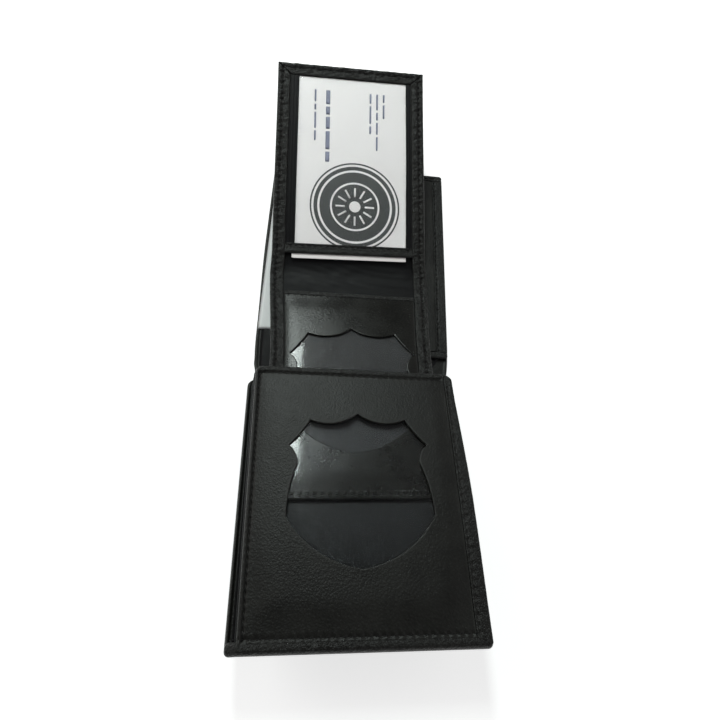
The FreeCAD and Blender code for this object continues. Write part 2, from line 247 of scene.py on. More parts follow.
# Sheet with thickness: two height fields on one grid, which meet at mid height in a round edge all round;
# across and along are low, high, edge, step and marks, as for places
def slab(across, along, bottom, top, put, rounding, corner=0.0, plan=None):
    xs, ys = places(*across), places(*along)
    u, v = np.meshgrid(xs, ys, indexing="ij")
    reach = np.minimum(np.minimum(u - xs[0], xs[-1] - u), np.minimum(v - ys[0], ys[-1] - v))
    x, y = roundCorners(u, v, (xs[0], ys[0]), (xs[-1], ys[-1]), corner) if corner else (u, v)
    if plan:
        x, y = plan(x, y)
    over, under = bothFaces(x, y, bottom, top, reach, rounding)
    upper = np.arange(u.size).reshape(u.shape)
    lower = upper.copy()
    inside = (slice(1, -1), slice(1, -1))
    lower[inside] = u.size + np.arange(lower[inside].size).reshape(lower[inside].shape)
    flat = np.concatenate([over.reshape(-1, 3), under[inside].reshape(-1, 3)])
    rubAndRimHighlight = bell(np.r_[reach.ravel(), reach[inside].ravel()], grid["rubAndRimHighlight"])
    return {"points": put(*flat.T), "faces": np.concatenate([quads(upper), quads(lower)[:, ::-1]]),
            "flat": flat, "rubAndRimHighlight": rubAndRimHighlight}


# Outline with round corners, each with its own radius, drawn in by an inset: an arc at each corner and even
# steps between, always with one count of points
def outlineRing(corners, radius, inset, step):
    spots = np.array(corners, float)
    side = np.roll(spots, -1, 0) - spots
    length = np.linalg.norm(side, axis=1)
    ahead = side / length[:, None]
    inward = np.stack([-ahead[:, 1], ahead[:, 0]], -1)
    before = np.roll(inward, 1, 0)
    draw = (inward + before) / (1 + (inward * before).sum(1))[:, None]
    spots = spots + inset * draw
    bends = np.maximum(np.broadcast_to(radius, len(spots)) - inset, grid["leastBend"])
    angle = np.arccos((inward * before).sum(1))
    share = np.linspace(0, 1, grid["arcPoints"])[:, None]
    arcs = [spot + bend * (d - (np.sin((1 - share) * a) * b + np.sin(share * a) * n) / np.sin(a))
            for spot, bend, d, a, b, n in zip(spots, bends, draw, angle, before, inward)]
    runs = []
    for arc, following, reach in zip(arcs, arcs[1:] + arcs[:1], length):
        share = np.linspace(0, 1, int(reach / step) + 2)[1:-1, None]
        runs += [arc, arc[-1] + share * (following[0] - arc[-1])]
    return np.concatenate(runs)


# Points on the circle through three points, from the first to the last: even angles about its centre
def arcThrough(a, b, c, count):
    a, b, c = (np.array(p, float) for p in (a, b, c))
    rows = 2 * np.array([b - a, c - a])
    centre = np.linalg.solve(rows, [b @ b - a @ a, c @ c - a @ a])
    angles = np.unwrap(np.arctan2(*np.array([a - centre, b - centre, c - centre]).T[::-1]))
    turn = np.linspace(angles[0], angles[2], count)[:, None]
    return centre + np.linalg.norm(a - centre) * np.hstack([np.cos(turn), np.sin(turn)])


# Panel with a hole: rings run from the outer edge over the top to the hole's edge and back underneath
def holedSlab(corners, radius, hole, bottom, top, put, border, holeRounding=0.25, holeRimHighlight=0.9):
    rounding, spanRows = panelGrid["rounding"], panelGrid["spanRows"]
    insets = np.array(panelGrid["insets"])
    insets = np.r_[rounding * edgeCurl, insets[insets <= border]]
    outer = np.array([outlineRing(corners, radius, inset, panelGrid["step"]) for inset in insets])
    middle = hole.mean(0)
    angle = np.arctan2(*(hole - middle).T[::-1])
    order = np.argsort(angle)
    last = outer[-1] - middle
    bearing = np.arctan2(last[:, 1], last[:, 0])
    size = np.interp(bearing, angle[order], np.linalg.norm(hole - middle, axis=1)[order], period=2 * np.pi)
    way = last / np.linalg.norm(last, axis=1)[:, None]
    gaps = np.r_[panelGrid["holeGaps"], holeRounding * (1 - np.sin(quarter))]
    inner = middle + way * (size + gaps[:, None])[..., None]
    share = np.linspace(0, 1, spanRows + 2)[1:-1, None, None]
    rings = np.concatenate([outer, outer[-1] + share * (inner[0] - outer[-1]), inner])
    reach = np.r_[insets, np.full(spanRows, panelGrid["spanReach"]), gaps]
    atHole = np.arange(len(reach)) >= len(insets) + spanRows
    edge = np.where(atHole, holeRounding, rounding)
    over, under = bothFaces(rings[..., 0], rings[..., 1], bottom, top, reach[:, None], edge[:, None])
    flat = np.concatenate([over, under[-2:0:-1]])
    # The pale share is rubbed wear at the outer edges; at the hole's edge it is scaled by the hole's own
    # factor, and there it paints a highlight on the cut edge
    rubAndRimHighlight = bell(reach, panelGrid["rubAndRimHighlight"]) * np.where(atHole, holeRimHighlight, 1)
    ids = np.arange(flat[..., 0].size).reshape(flat.shape[:2])
    flat = flat.reshape(-1, 3)
    return {"points": put(*flat.T), "faces": ringQuads(ids)[:, ::-1], "flat": flat,
            "rubAndRimHighlight": np.repeat(np.r_[rubAndRimHighlight, rubAndRimHighlight[-2:0:-1]], ids.shape[1])}


# Seams: how a sewn line dents the leather, and the runs of thread on it
seamLook = {"fade": 1.5, "web": 0.55, "puckerWidth": 1.3, "evenPucker": 0.85, "unevenPucker": 0.5,
            "unevenTurns": (1.9, 0.73), "unevenStart": 1.3, "threadTip": 0.02}
threadLook = {"length": 1.9, "width": 0.4, "rise": 0.1, "sink": 0.22, "slant": 0.12}
sideThreadLook = {"length": 2.0, "width": 0.46, "rise": 0.1, "sink": 0.2, "slant": 0.32}


# Sewn line from (x0, y0) to (x1, y1): its length, its way along, and its count of whole stitches
def measured(line):
    x0, y0, x1, y1 = line
    length = np.hypot(x1 - x0, y1 - y0)
    return length, (x1 - x0) / length, (y1 - y0) / length, int(length / wallet["stitchPitch"])


# Sewn lines: a valley with a bell across it, deepest at the needle holes, and uneven puckers between them
def seamDent(x, y, lines, depth, width, pucker):
    drop = 0 * x
    fast, slow = seamLook["unevenTurns"]
    for line in lines:
        length, tx, ty, count = measured(line)
        along = (x - line[0]) * tx + (y - line[1]) * ty
        across = (y - line[1]) * tx - (x - line[0]) * ty
        there = smooth(1 + along / seamLook["fade"]) * smooth(1 + (length - along) / seamLook["fade"])
        hole = 0.5 + 0.5 * np.cos(2 * np.pi * along / (length / count))
        uneven = seamLook["unevenPucker"] * np.sin(fast * along)
        uneven = uneven * np.sin(slow * along + seamLook["unevenStart"])
        size = pucker * (seamLook["evenPucker"] + uneven)
        valley = depth * bell(across, width) * (seamLook["web"] + (1 - seamLook["web"]) * hole)
        ridge = size * bell(across, seamLook["puckerWidth"]) * (hole - 0.5)
        drop = drop - there * (valley + ridge)
    return drop


# Thread runs on sewn lines: each is a thin spindle, raised in its middle and dipping into a hole at both ends
def stitches(lines, level, put, look):
    along, turn = np.meshgrid(np.linspace(-1, 1, 8), np.arange(8) * np.pi / 4, indexing="ij")
    thick = look["width"] / 2 * (np.sqrt(np.clip(1 - abs(along) ** 3, 0, 1)) + seamLook["threadTip"])
    lift = look["rise"] * (1 - along ** 2) - look["sink"] * along ** 4 + thick * np.sin(turn)
    twist = np.stack([along * look["length"] / 2, turn, 0 * turn], -1)
    parts = []
    for line in lines:
        length, tx, ty, count = measured(line)
        middle = ((np.arange(count) + 0.5) * length / count)[:, None, None]
        a = middle + along * look["length"] / 2
        c = look["slant"] * along + thick * np.cos(turn)
        x, y = line[0] + a * tx - c * ty, line[1] + a * ty + c * tx
        z = heightAt(level, x, y) + lift
        ids = np.arange(x.size).reshape(count, *along.shape)
        beside = np.roll(ids, -1, 2)
        sides = np.stack([ids[:, :-1], beside[:, :-1], beside[:, 1:], ids[:, 1:]], -1).reshape(-1, 4)
        near, far = ids[:, 0], ids[:, -1]
        ends = [near[:, [0, 7, 6, 1]], near[:, [1, 6, 5, 2]], near[:, [2, 5, 4, 3]],
                far[:, [0, 1, 6, 7]], far[:, [1, 2, 5, 6]], far[:, [2, 3, 4, 5]]]
        parts.append({"points": put(x.ravel(), y.ravel(), z.ravel()), "faces": np.concatenate([sides, *ends]),
                      "flat": np.broadcast_to(twist, (count, *twist.shape)).reshape(-1, 3),
                      "rubAndRimHighlight": np.zeros(x.size)})
    return parts


# One mesh from several parts: points and faces one after the other, with a flat place and a pale share at
# each point, rubbed wear at edges and a painted highlight at the badge shield's cut edge; it rides on a body
# if one is given
def makePiece(name, material, parts, nodes, body=None):
    starts = np.cumsum([0] + [len(part["points"]) for part in parts[:-1]])
    faces = np.concatenate([part["faces"] + start for part, start in zip(parts, starts)])
    points, flat, rubAndRimHighlight = (np.concatenate([part[key] for part in parts]) for key in ("points", "flat", "rubAndRimHighlight"))
    mesh = bpy.data.meshes.new(name)
    mesh.from_pydata(points.tolist(), [], faces.tolist())
    flatPlaces = mesh.attributes.new("flat", "FLOAT_VECTOR", "POINT")
    flatPlaces.data.foreach_set("vector", flat.astype(np.float32).ravel())
    mesh.attributes.new("rubAndRimHighlight", "FLOAT", "POINT").data.foreach_set("value", rubAndRimHighlight.astype(np.float32))
    mesh.polygons.foreach_set("use_smooth", np.ones(len(mesh.polygons), bool))
    mesh.materials.append(material)
    mesh.update()
    made = bpy.data.objects.new(name, mesh)
    bpy.context.scene.collection.objects.link(made)
    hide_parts(*nodes)
    if body:
        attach(made, body)
    return made


# Piece at the spine: its place is baked into its points; the spine's two ends are worked out, but nothing
# uses them
def bendAtSpine(made):
    reach, middle = wallet["spineReach"], np.full(1, wallet["cover"] / 2)
    start, end = (putSpine(np.zeros(1), np.full(1, s), middle)[0] for s in (reach, -reach))
    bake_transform(made)
    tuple(start)
    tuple(end)


# Piece at the fold: its place is baked into its points; the fold's two ends are worked out, but nothing uses
# them
def bendAtFold(made):
    start, end = (putFold(np.zeros(1), np.full(1, s), np.zeros(1))[0] for s in (foldStart, flapFoot))
    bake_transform(made)
    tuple(start)
    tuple(end)


# Inputs of a node: linked where the value is another node's socket, and set where it is a number or a colour
def fill(tree, node, inputs):
    for key, value in inputs.items():
        if isinstance(value, bpy.types.NodeSocket):
            tree.links.new(value, node.inputs[key])
        else:
            node.inputs[key].default_value = value


# Node of that kind with its settings and its inputs
def addNode(tree, kind, inputs=None, **settings):
    node = tree.nodes.new(kind)
    for key, value in settings.items():
        setattr(node, key, value)
    fill(tree, node, inputs or {})
    return node


# Empty material with its tree and its shader
def newMaterial(name):
    material = bpy.data.materials.new(name)
    material.use_nodes = True
    tree = material.node_tree
    return material, tree, tree.nodes["Principled BSDF"]


# The flat place of each point in millimetres, which every pattern follows
def flatPlace(tree):
    return addNode(tree, "ShaderNodeAttribute", attribute_name="flat").outputs["Vector"]


# Noise over a place: layers that are each finer and weaker than the one before
def noise(tree, place, scale, detail, roughness=0.5):
    return addNode(tree, "ShaderNodeTexNoise", {"Vector": place, "Scale": scale, "Detail": detail,
                                                "Roughness": roughness}).outputs["Fac"]


# Value mapped straight from one range to another, and held at its ends
def mapped(tree, value, low, high, toLow, toHigh):
    return addNode(tree, "ShaderNodeMapRange", {"Value": value, "From Min": low, "From Max": high,
                                                "To Min": toLow, "To Max": toHigh}).outputs["Result"]


noiseBand = (0.3, 0.7)


# Noise mapped from the middle band that it mostly keeps to
def fromNoise(tree, value, toLow, toHigh):
    return mapped(tree, value, *noiseBand, toLow, toHigh)


# Colour between two by a factor
def mixed(tree, factor, first, second):
    return addNode(tree, "ShaderNodeMix", {0: factor, 6: first, 7: second}, data_type="RGBA").outputs[2]


# Two values put together by one operation
def combined(tree, operation, first, second):
    return addNode(tree, "ShaderNodeMath", {0: first, 1: second}, operation=operation).outputs[0]


# Sum of several values
def added(tree, total, *others):
    for other in others:
        total = combined(tree, "ADD", total, other)
    return total


# Normal tipped by the slope of a height pattern that is so many millimetres deep
def bumped(tree, height, strength, depth):
    return addNode(tree, "ShaderNodeBump", {"Height": height, "Strength": strength,
                                            "Distance": depth * mm}).outputs["Normal"]


# Leather's patterns: scales per millimetre, and what each adds to the tone, the gloss and the height
hideLook = {
    "mottleScale": 1.1, "fineScale": 3.0, "cloudScale": 0.09, "warp": 0.2, "depth": 0.12,
    "cloudTone": 0.4, "pebbleTone": 0.3, "mottleTone": 0.3, "fineGloss": 0.05, "rubGloss": 0.08,
    "fineHeight": 0.3, "mottleHeight": 0.8, "rubAndRimMask": (0.15, 0.8), "rubBand": (0.35, 0.65),
    "pebbleToneBand": (0.5, 0.1), "pebbleHeightBand": (0, 0.7),
}


# Black leather: pebbles from a cell pattern warped by noise, paler and smoother where it is rubbed at its
# edges, and paler along the badge shield's cut edge, where that is a painted highlight; tone, gloss and
# height are sums of the pebbles, a mottle, a fine noise and a slow cloud
def leatherMaterial(name, look):
    material, tree, shader = newMaterial(name)
    place = flatPlace(tree)
    rubAndRimMask = addNode(tree, "ShaderNodeAttribute", attribute_name="rubAndRimHighlight").outputs["Fac"]
    ripple = addNode(tree, "ShaderNodeTexNoise", {"Vector": place, "Scale": hideLook["mottleScale"],
                                                  "Detail": 3.0})
    mottle = ripple.outputs["Fac"]
    bent = addNode(tree, "ShaderNodeVectorMath", {0: ripple.outputs["Color"], 3: hideLook["warp"]},
                   operation="SCALE").outputs[0]
    warped = addNode(tree, "ShaderNodeVectorMath", {0: place, 1: bent}, operation="ADD").outputs[0]
    cells = addNode(tree, "ShaderNodeTexVoronoi", {"Vector": warped, "Scale": look["grain"]})
    pebble = cells.outputs["Distance"]
    fine = noise(tree, place, hideLook["fineScale"] * look["grain"], 2.0)
    cloud = noise(tree, place, hideLook["cloudScale"], 4.0)
    tone = added(tree, fromNoise(tree, cloud, 0, hideLook["cloudTone"]),
                 mapped(tree, pebble, *hideLook["pebbleToneBand"], 0, hideLook["pebbleTone"]),
                 fromNoise(tree, mottle, 0, hideLook["mottleTone"]))
    rubAndRimShare = combined(tree, "MULTIPLY", rubAndRimMask,
                      mapped(tree, cloud, *hideLook["rubBand"], *hideLook["rubAndRimMask"]))
    gloss = added(tree, fromNoise(tree, cloud, *look["roughness"]),
                  fromNoise(tree, fine, -hideLook["fineGloss"], hideLook["fineGloss"]))
    polish = combined(tree, "MULTIPLY", rubAndRimShare, hideLook["rubGloss"])
    height = added(tree, mapped(tree, pebble, *hideLook["pebbleHeightBand"], 1, 0),
                   fromNoise(tree, fine, 0, hideLook["fineHeight"]),
                   fromNoise(tree, mottle, 0, hideLook["mottleHeight"]))
    fill(tree, shader, {
        "Base Color": mixed(tree, rubAndRimShare, mixed(tree, tone, look["deep"], look["pale"]), look["rubAndRimHighlightColour"]),
        "Roughness": combined(tree, "SUBTRACT", gloss, polish), "Specular IOR Level": look["specular"],
        "Normal": bumped(tree, height, look["bump"], hideLook["depth"])})
    return material


# Black nylon lining: two crossed bands of thread multiplied into a weave, with a soft sheen
def nylonMaterial(name, look):
    material, tree, shader = newMaterial(name)
    place = flatPlace(tree)
    bands = {"Vector": place, "Scale": look["thread"], "Distortion": look["waviness"]}
    warp, weft = (addNode(tree, "ShaderNodeTexWave", bands, bands_direction=way).outputs["Fac"]
                  for way in "XY")
    weave = combined(tree, "MULTIPLY", warp, weft)
    cloud = noise(tree, place, look["cloud"], 3.0)
    tone = added(tree, combined(tree, "MULTIPLY", weave, look["weaveTone"]),
                 fromNoise(tree, cloud, 0, look["cloudTone"]))
    fill(tree, shader, {
        "Base Color": mixed(tree, tone, look["deep"], look["pale"]),
        "Roughness": fromNoise(tree, cloud, *look["roughness"]), "Specular IOR Level": look["specular"],
        "Sheen Weight": look["sheen"], "Sheen Roughness": look["sheenRoughness"],
        "Normal": bumped(tree, weave, look["bump"], look["depth"])})
    return material


# Waxed thread: the size of a sine along and round the run gives its twisted strands
def threadMaterial(name, look):
    material, tree, shader = newMaterial(name)
    parted = addNode(tree, "ShaderNodeSeparateXYZ", {0: flatPlace(tree)}).outputs
    lay = added(tree, combined(tree, "MULTIPLY", parted["X"], look["lay"]), parted["Y"])
    strand = combined(tree, "ABSOLUTE", combined(tree, "SINE", lay, 0.0), 0.0)
    fill(tree, shader, {
        "Base Color": mixed(tree, strand, look["deep"], look["pale"]),
        "Roughness": mapped(tree, strand, 0, 1, *look["roughness"]), "Specular IOR Level": look["specular"],
        "Normal": bumped(tree, strand, look["bump"], look["depth"])})
    return material


# Film's patterns: scales per millimetre, the bands of noise that are mapped, and the ripple
vinylLook = {
    "hazeScale": 0.12, "scuffScale": 2.5, "hazeBand": (0.35, 0.75), "scuffBand": (0.45, 0.75),
    "bump": 0.02, "depth": 0.2,
}


# Clear vinyl film: smooth and glossy, with faint scuffs and a slow ripple; lamp rays go straight through
def filmMaterial(name, look):
    material, tree, shader = newMaterial(name)
    place = flatPlace(tree)
    haze = noise(tree, place, vinylLook["hazeScale"], 5.0)
    scuff = noise(tree, place, vinylLook["scuffScale"], 6.0, 0.7)
    dulled = mapped(tree, scuff, *vinylLook["scuffBand"], 0, 1)
    fill(tree, shader, {
        "Base Color": mixed(tree, dulled, look["clear"], look["dull"]),
        "Roughness": mapped(tree, haze, *vinylLook["hazeBand"], *look["roughness"]),
        "Transmission Weight": look["clearness"], "IOR": look["ior"],
        "Normal": bumped(tree, haze, vinylLook["bump"], vinylLook["depth"])})
    lampRay = addNode(tree, "ShaderNodeLightPath").outputs["Is Shadow Ray"]
    through = addNode(tree, "ShaderNodeBsdfTransparent").outputs["BSDF"]
    either = addNode(tree, "ShaderNodeMixShader", {0: lampRay, 1: shader.outputs["BSDF"], 2: through})
    fill(tree, tree.nodes["Material Output"], {"Surface": either.outputs["Shader"]})
    return material


# Paper's patterns: scales per millimetre, and the fibres' height
stockLook = {"cloudScale": 0.15, "fibreScale": 4.0, "bump": 0.15, "depth": 0.03}


# Card, paper or ink: a clouded tone with short fibres in the gloss and the bump
def paperMaterial(name, look):
    material, tree, shader = newMaterial(name)
    place = flatPlace(tree)
    cloud = noise(tree, place, stockLook["cloudScale"], 5.0)
    fibre = noise(tree, place, stockLook["fibreScale"], 3.0)
    fill(tree, shader, {
        "Base Color": mixed(tree, cloud, look["shade"], look["light"]),
        "Roughness": fromNoise(tree, fibre, *look["roughness"]),
        "Normal": bumped(tree, fibre, stockLook["bump"], stockLook["depth"])})
    return material


# Each leather's pale edge colour is that of rubbed edges, and along the badge panel's shield cut-out it is a
# painted highlight
leather = leatherMaterial("fineGrainLeather", {
    "grain": 1.3, "deep": (0.0033, 0.0033, 0.0027, 1), "pale": (0.0142, 0.0142, 0.0120, 1),
    "rubAndRimHighlightColour": (0.033, 0.034, 0.031, 1), "roughness": (0.38, 0.46), "bump": 0.4, "specular": 0.28})
sleekLeather = leatherMaterial("sleekInsertLeather", {
    "grain": 1.6, "deep": (0.0048, 0.0048, 0.0041, 1), "pale": (0.0165, 0.0165, 0.0143, 1),
    "rubAndRimHighlightColour": (0.033, 0.034, 0.031, 1), "roughness": (0.2, 0.25), "bump": 0.13, "specular": 0.26})
edgeLeather = leatherMaterial("creasedBorderLeather", {
    "grain": 1.5, "deep": (0.002, 0.002, 0.0016, 1), "pale": (0.0105, 0.0105, 0.0088, 1),
    "rubAndRimHighlightColour": (0.025, 0.026, 0.024, 1), "roughness": (0.33, 0.43), "bump": 1.0, "specular": 0.28})
smoothLeather = leatherMaterial("smoothLinerLeather", {
    "grain": 2.2, "deep": (0.005, 0.0053, 0.0057, 1), "pale": (0.009, 0.0094, 0.0100, 1),
    "rubAndRimHighlightColour": (0.02, 0.021, 0.022, 1), "roughness": (0.42, 0.48), "bump": 0.12, "specular": 0.22})
nylon = nylonMaterial("nylonLining", {
    "thread": 0.9, "waviness": 0.3, "weaveTone": 0.5, "cloud": 0.2, "cloudTone": 0.5,
    "deep": (0.002, 0.002, 0.0024, 1), "pale": (0.0048, 0.0048, 0.0058, 1),
    "roughness": (0.42, 0.55), "specular": 0.16, "sheen": 0.02, "sheenRoughness": 0.4, "bump": 0.4,
    "depth": 0.05})
thread = threadMaterial("waxedThread", {
    "lay": 5.0, "deep": (0.003, 0.003, 0.003, 1), "pale": (0.009, 0.009, 0.009, 1), "roughness": (0.65, 0.5),
    "specular": 0.2, "bump": 0.6, "depth": 0.06})
film = filmMaterial("clearVinyl", {
    "roughness": (0.05, 0.08), "ior": 1.3, "clearness": 0.99, "clear": (0.915, 0.92, 0.93, 1),
    "dull": (0.84, 0.855, 0.87, 1)})
# Darker copy of the clear vinyl for the badge pocket: its darker tint is painted shade that dims the lamp's
# gloss on the leather seen through it
shadedPocketFilm = filmMaterial("shadedPocketVinyl", {
    "roughness": (0.05, 0.08), "ior": 1.34, "clearness": 1.0, "clear": (0.8, 0.81, 0.825, 1),
    "dull": (0.74, 0.755, 0.77, 1)})
cardStock = paperMaterial("whiteCard", {
    "shade": (0.80, 0.752, 0.745, 1), "light": (0.86, 0.807, 0.80, 1), "roughness": (0.4, 0.55)})
slipPaper = paperMaterial("slipPaper", {
    "shade": (0.82, 0.84, 0.84, 1), "light": (0.88, 0.9, 0.9, 1), "roughness": (0.6, 0.75)})
charcoalInk = paperMaterial("charcoalInk", {
    "shade": (0.030, 0.031, 0.030, 1), "light": (0.040, 0.041, 0.040, 1), "roughness": (0.4, 0.55)})
slateInk = paperMaterial("slateInk", {
    "shade": (0.16, 0.17, 0.25, 1), "light": (0.2, 0.21, 0.3, 1), "roughness": (0.4, 0.55)})

print("materials made:", len(bpy.data.materials))


# Outer cover, one piece of leather over both leaves, and its lining;
# a pull is its most, and where it starts, rises over, holds to and fades over
coverLook = {
    "rounding": 0.6, "step": 1.5, "turnedEdge": 1.7, "turnedRise": 0.3, "turnedSink": 0.1,
    "openRise": 0.5, "openSide": 10.0, "openRun": 12.0,
    "insetFade": 8.0, "frontInset": 1.3, "frontInsetAt": 2.0, "frontInsetRun": 4.0,
    "leftPull": (1.2, -6.0, 8.0, 8.0, 60.0), "rightPull": (1.2, 5.0, 6.0, 25.0, 55.0),
    "liningInset": 2.2, "liningEdge": 0.1, "liningCorner": 0.5, "liningSink": 0.08, "liningWave": 0.04,
    "liningWaveLength": 23.0, "spineTurn": 6.0, "spineTurnRun": 9.0, "spineRows": (-10, 10, 21),
}
coverNear = -wallet["spineReach"] - wallet["leafLength"]
coverFar = wallet["spineReach"] + wallet["rearLength"]
spineMarks = np.linspace(*coverLook["spineRows"])


# Half width along the cover: full on the front leaf up to its round corners, and eased in by a bell behind
def coverHalf(s):
    look, radius = coverLook, wallet["frontCorner"]
    past = np.clip(radius + wallet["spineReach"] + s, 0, radius)
    inset = wallet["spineInset"] * bell(np.maximum(s, 0), look["insetFade"])
    inset = inset + look["frontInset"] * smooth((look["frontInsetAt"] - s) / look["frontInsetRun"])
    corner = halfWidth - radius + np.sqrt(radius ** 2 - past ** 2)
    return np.where(s < -wallet["spineReach"], np.maximum(corner, halfWidth - inset), halfWidth - inset)


# How far an edge is drawn in: it grows by a smooth step, and goes back by a longer one
def pulled(s, most, start, rise, hold, fade):
    return most * smooth((s - start) / rise) * (1 - smooth((s - hold) / fade))


# Left edge, drawn in most on the rear leaf beside the spine
def leftPull(s):
    return pulled(s, *coverLook["leftPull"])


# Right edge, drawn in most on the front leaf a little below the spine
def rightPull(s):
    return pulled(-s, *coverLook["rightPull"])


# Outline of the cover: x scaled to the half width there, and each edge's pull shared out across
def coverPlan(x, s):
    share = (x + halfWidth) / (2 * halfWidth)
    return x * coverHalf(s) / halfWidth + leftPull(s) * (1 - share) - rightPull(s) * share, s


# Top of the cover: flat, with a roll along its edge that is higher at the open left edge of the front leaf
def coverTop(x, s):
    look = coverLook
    side = np.minimum(coverHalf(s) - rightPull(s) - x, x + coverHalf(s) - leftPull(s))
    reach = np.minimum(side, np.minimum(s - coverNear, coverFar - s))
    opened = smooth(-x / look["openSide"]) * smooth((-s - wallet["spineReach"]) / look["openRun"])
    rise = look["turnedRise"] + look["openRise"] * opened
    return wallet["cover"] - look["turnedSink"] + rolled(reach, look["turnedEdge"], rise)


# Outline of the cover's lining: from edge to edge less an inset, and turned in by a bell at the spine's right
def coverLiningPlan(x, s):
    inset = coverLook["liningInset"]
    half = halfWidth - inset
    share = (x + half) / (2 * half)
    left = leftPull(s) - coverHalf(s) + inset
    right = coverHalf(s) - rightPull(s) - inset - coverLook["spineTurn"] * bell(s, coverLook["spineTurnRun"])
    return left + (right - left) * share, s


# Top of the cover's lining: level, with a slow wander
def coverLiningTop(x, s):
    return billFloor + coverLook["liningWave"] * wander(x, s, coverLook["liningWaveLength"], 1.0)


# Cover and lining: slabs along the whole wallet, bent at the spine
def makeCover():
    look = coverLook
    rounding, step, turned = look["rounding"], look["step"], look["turnedEdge"] / 2
    outside = slab((-halfWidth, halfWidth, rounding, step, (-halfWidth + turned, halfWidth - turned)),
                   (coverNear, coverFar, rounding, step,
                    (coverNear + turned, coverFar - turned, *spineMarks)),
                   0.0, coverTop, putSpine, rounding, wallet["endRadius"], coverPlan)
    bendAtSpine(makePiece("outerCover", leather, [outside], ("rear_cover", "spine_strip", "front_cover")))
    inset, edge = look["liningInset"], look["liningEdge"]
    inside = slab((-halfWidth + inset, halfWidth - inset, edge, step),
                  (coverNear + inset, coverFar - inset, edge, step, spineMarks),
                  wallet["cover"] - look["liningSink"], coverLiningTop, putSpine, edge, look["liningCorner"],
                  coverLiningPlan)
    lining = makePiece("coverLining", nylon, [inside],
                       ("rear_cover_lining", "spine_lining", "front_cover_lining"))
    bendAtSpine(lining)


# Rear leaf: note divider, inner panel, card pocket and three borders, sewn round;
# a seam is its depth, width and pucker
rearLook = {
    "dividerFloor": 1.9, "dividerRounding": 0.12, "panelFloor": 2.15, "step": 1.4, "edge": 0.25,
    "pocketLevel": 2.7, "pocketRise": 0.45, "pocketMouth": 9.0, "pocketCorner": 0.8, "mouthRoll": 1.1,
    "mouthRollWidth": 0.9, "mouthRise": 0.12, "pocketWave": 0.05, "pocketWaveLength": 60.0,
    "foldHollow": 0.3, "foldAt": 41.0, "foldWidth": 7.0,
    "borderRight": 5.0, "borderEnd": 3.3, "borderSpine": 2.6, "borderTop": 3.25, "borderSwell": 0.08,
    "borderEdge": 0.35, "borderEnds": 0.3, "borderRounding": 0.4, "borderStep": 0.5, "spineStep": 0.4,
    "seamIn": 0.9, "seam": (0.28, 0.55, 0.08),
    "gusset": 3.0, "gussetEdge": 0.15, "gussetStep": 0.8, "gussetRun": 2.0,
}
rearLeft = -halfWidth + wallet["rearSetback"]
rearFoot, rearEnd = wallet["rearFoot"], wallet["rearLength"] - innerEnd
rearMouth = rearLeft + rearLook["pocketMouth"]
rearBorderX = innerRight - rearLook["borderRight"]
rearBorderY = rearEnd - rearLook["borderEnd"]
rearBorderFoot = rearFoot + rearLook["borderSpine"]
rearSeamX, rearSeamY = rearBorderX + rearLook["seamIn"], rearEnd - wallet["seamOffset"]
rearLines = [(rearSeamX, rearBorderFoot, rearSeamX, rearBorderY),
             (rearLeft + wallet["seamOffset"], rearSeamY, rearSeamX, rearSeamY)]


# Top of the card pocket: a roll along its mouth, a slow wander, and a low hollow under the insert's fold
def rearPocketTop(x, y):
    look = rearLook
    roll = look["mouthRise"] * bell(x - rearMouth - look["mouthRoll"], look["mouthRollWidth"])
    hollow = look["foldHollow"] * bell(y - look["foldAt"], look["foldWidth"])
    wave = look["pocketWave"] * wander(x, y, look["pocketWaveLength"], 2.0)
    return look["pocketLevel"] + look["pocketRise"] + roll + wave - hollow


# Top of the sewn borders: level, less the seam's dents
def rearBorderTop(x, y):
    return rearLook["borderTop"] + rearLook["borderSwell"] + seamDent(x, y, rearLines, *rearLook["seam"])


# Divider, panel and card pocket: slabs one on the other
def makeRearPanel():
    look, edge, step = rearLook, rearLook["edge"], rearLook["step"]
    wide, tall = (rearLeft, innerRight, edge, step), (rearFoot, rearEnd, edge, step)
    cloth = slab(wide, tall, look["dividerFloor"], look["panelFloor"] - wallet["hair"], putRear,
                 look["dividerRounding"], wallet["innerRadius"])
    divider = makePiece("rearDivider", nylon, [cloth], ("rear_divider",), "rear_leaf")
    panel = slab(wide, tall, look["panelFloor"], look["pocketLevel"], putRear, edge, wallet["innerRadius"])
    makePiece("rearPanel", leather, [panel], ("rear_panel",), "rear_leaf")
    pocket = slab((rearMouth, rearBorderX - wallet["groove"], edge, step, (rearMouth + look["mouthRoll"],)),
                  (rearBorderFoot + wallet["groove"], rearBorderY - wallet["groove"], edge, step),
                  look["pocketLevel"], rearPocketTop, putRear, edge, look["pocketCorner"])
    makePiece("rearCardPocket", leather, [pocket], ("rear_card_pocket",), "rear_leaf")


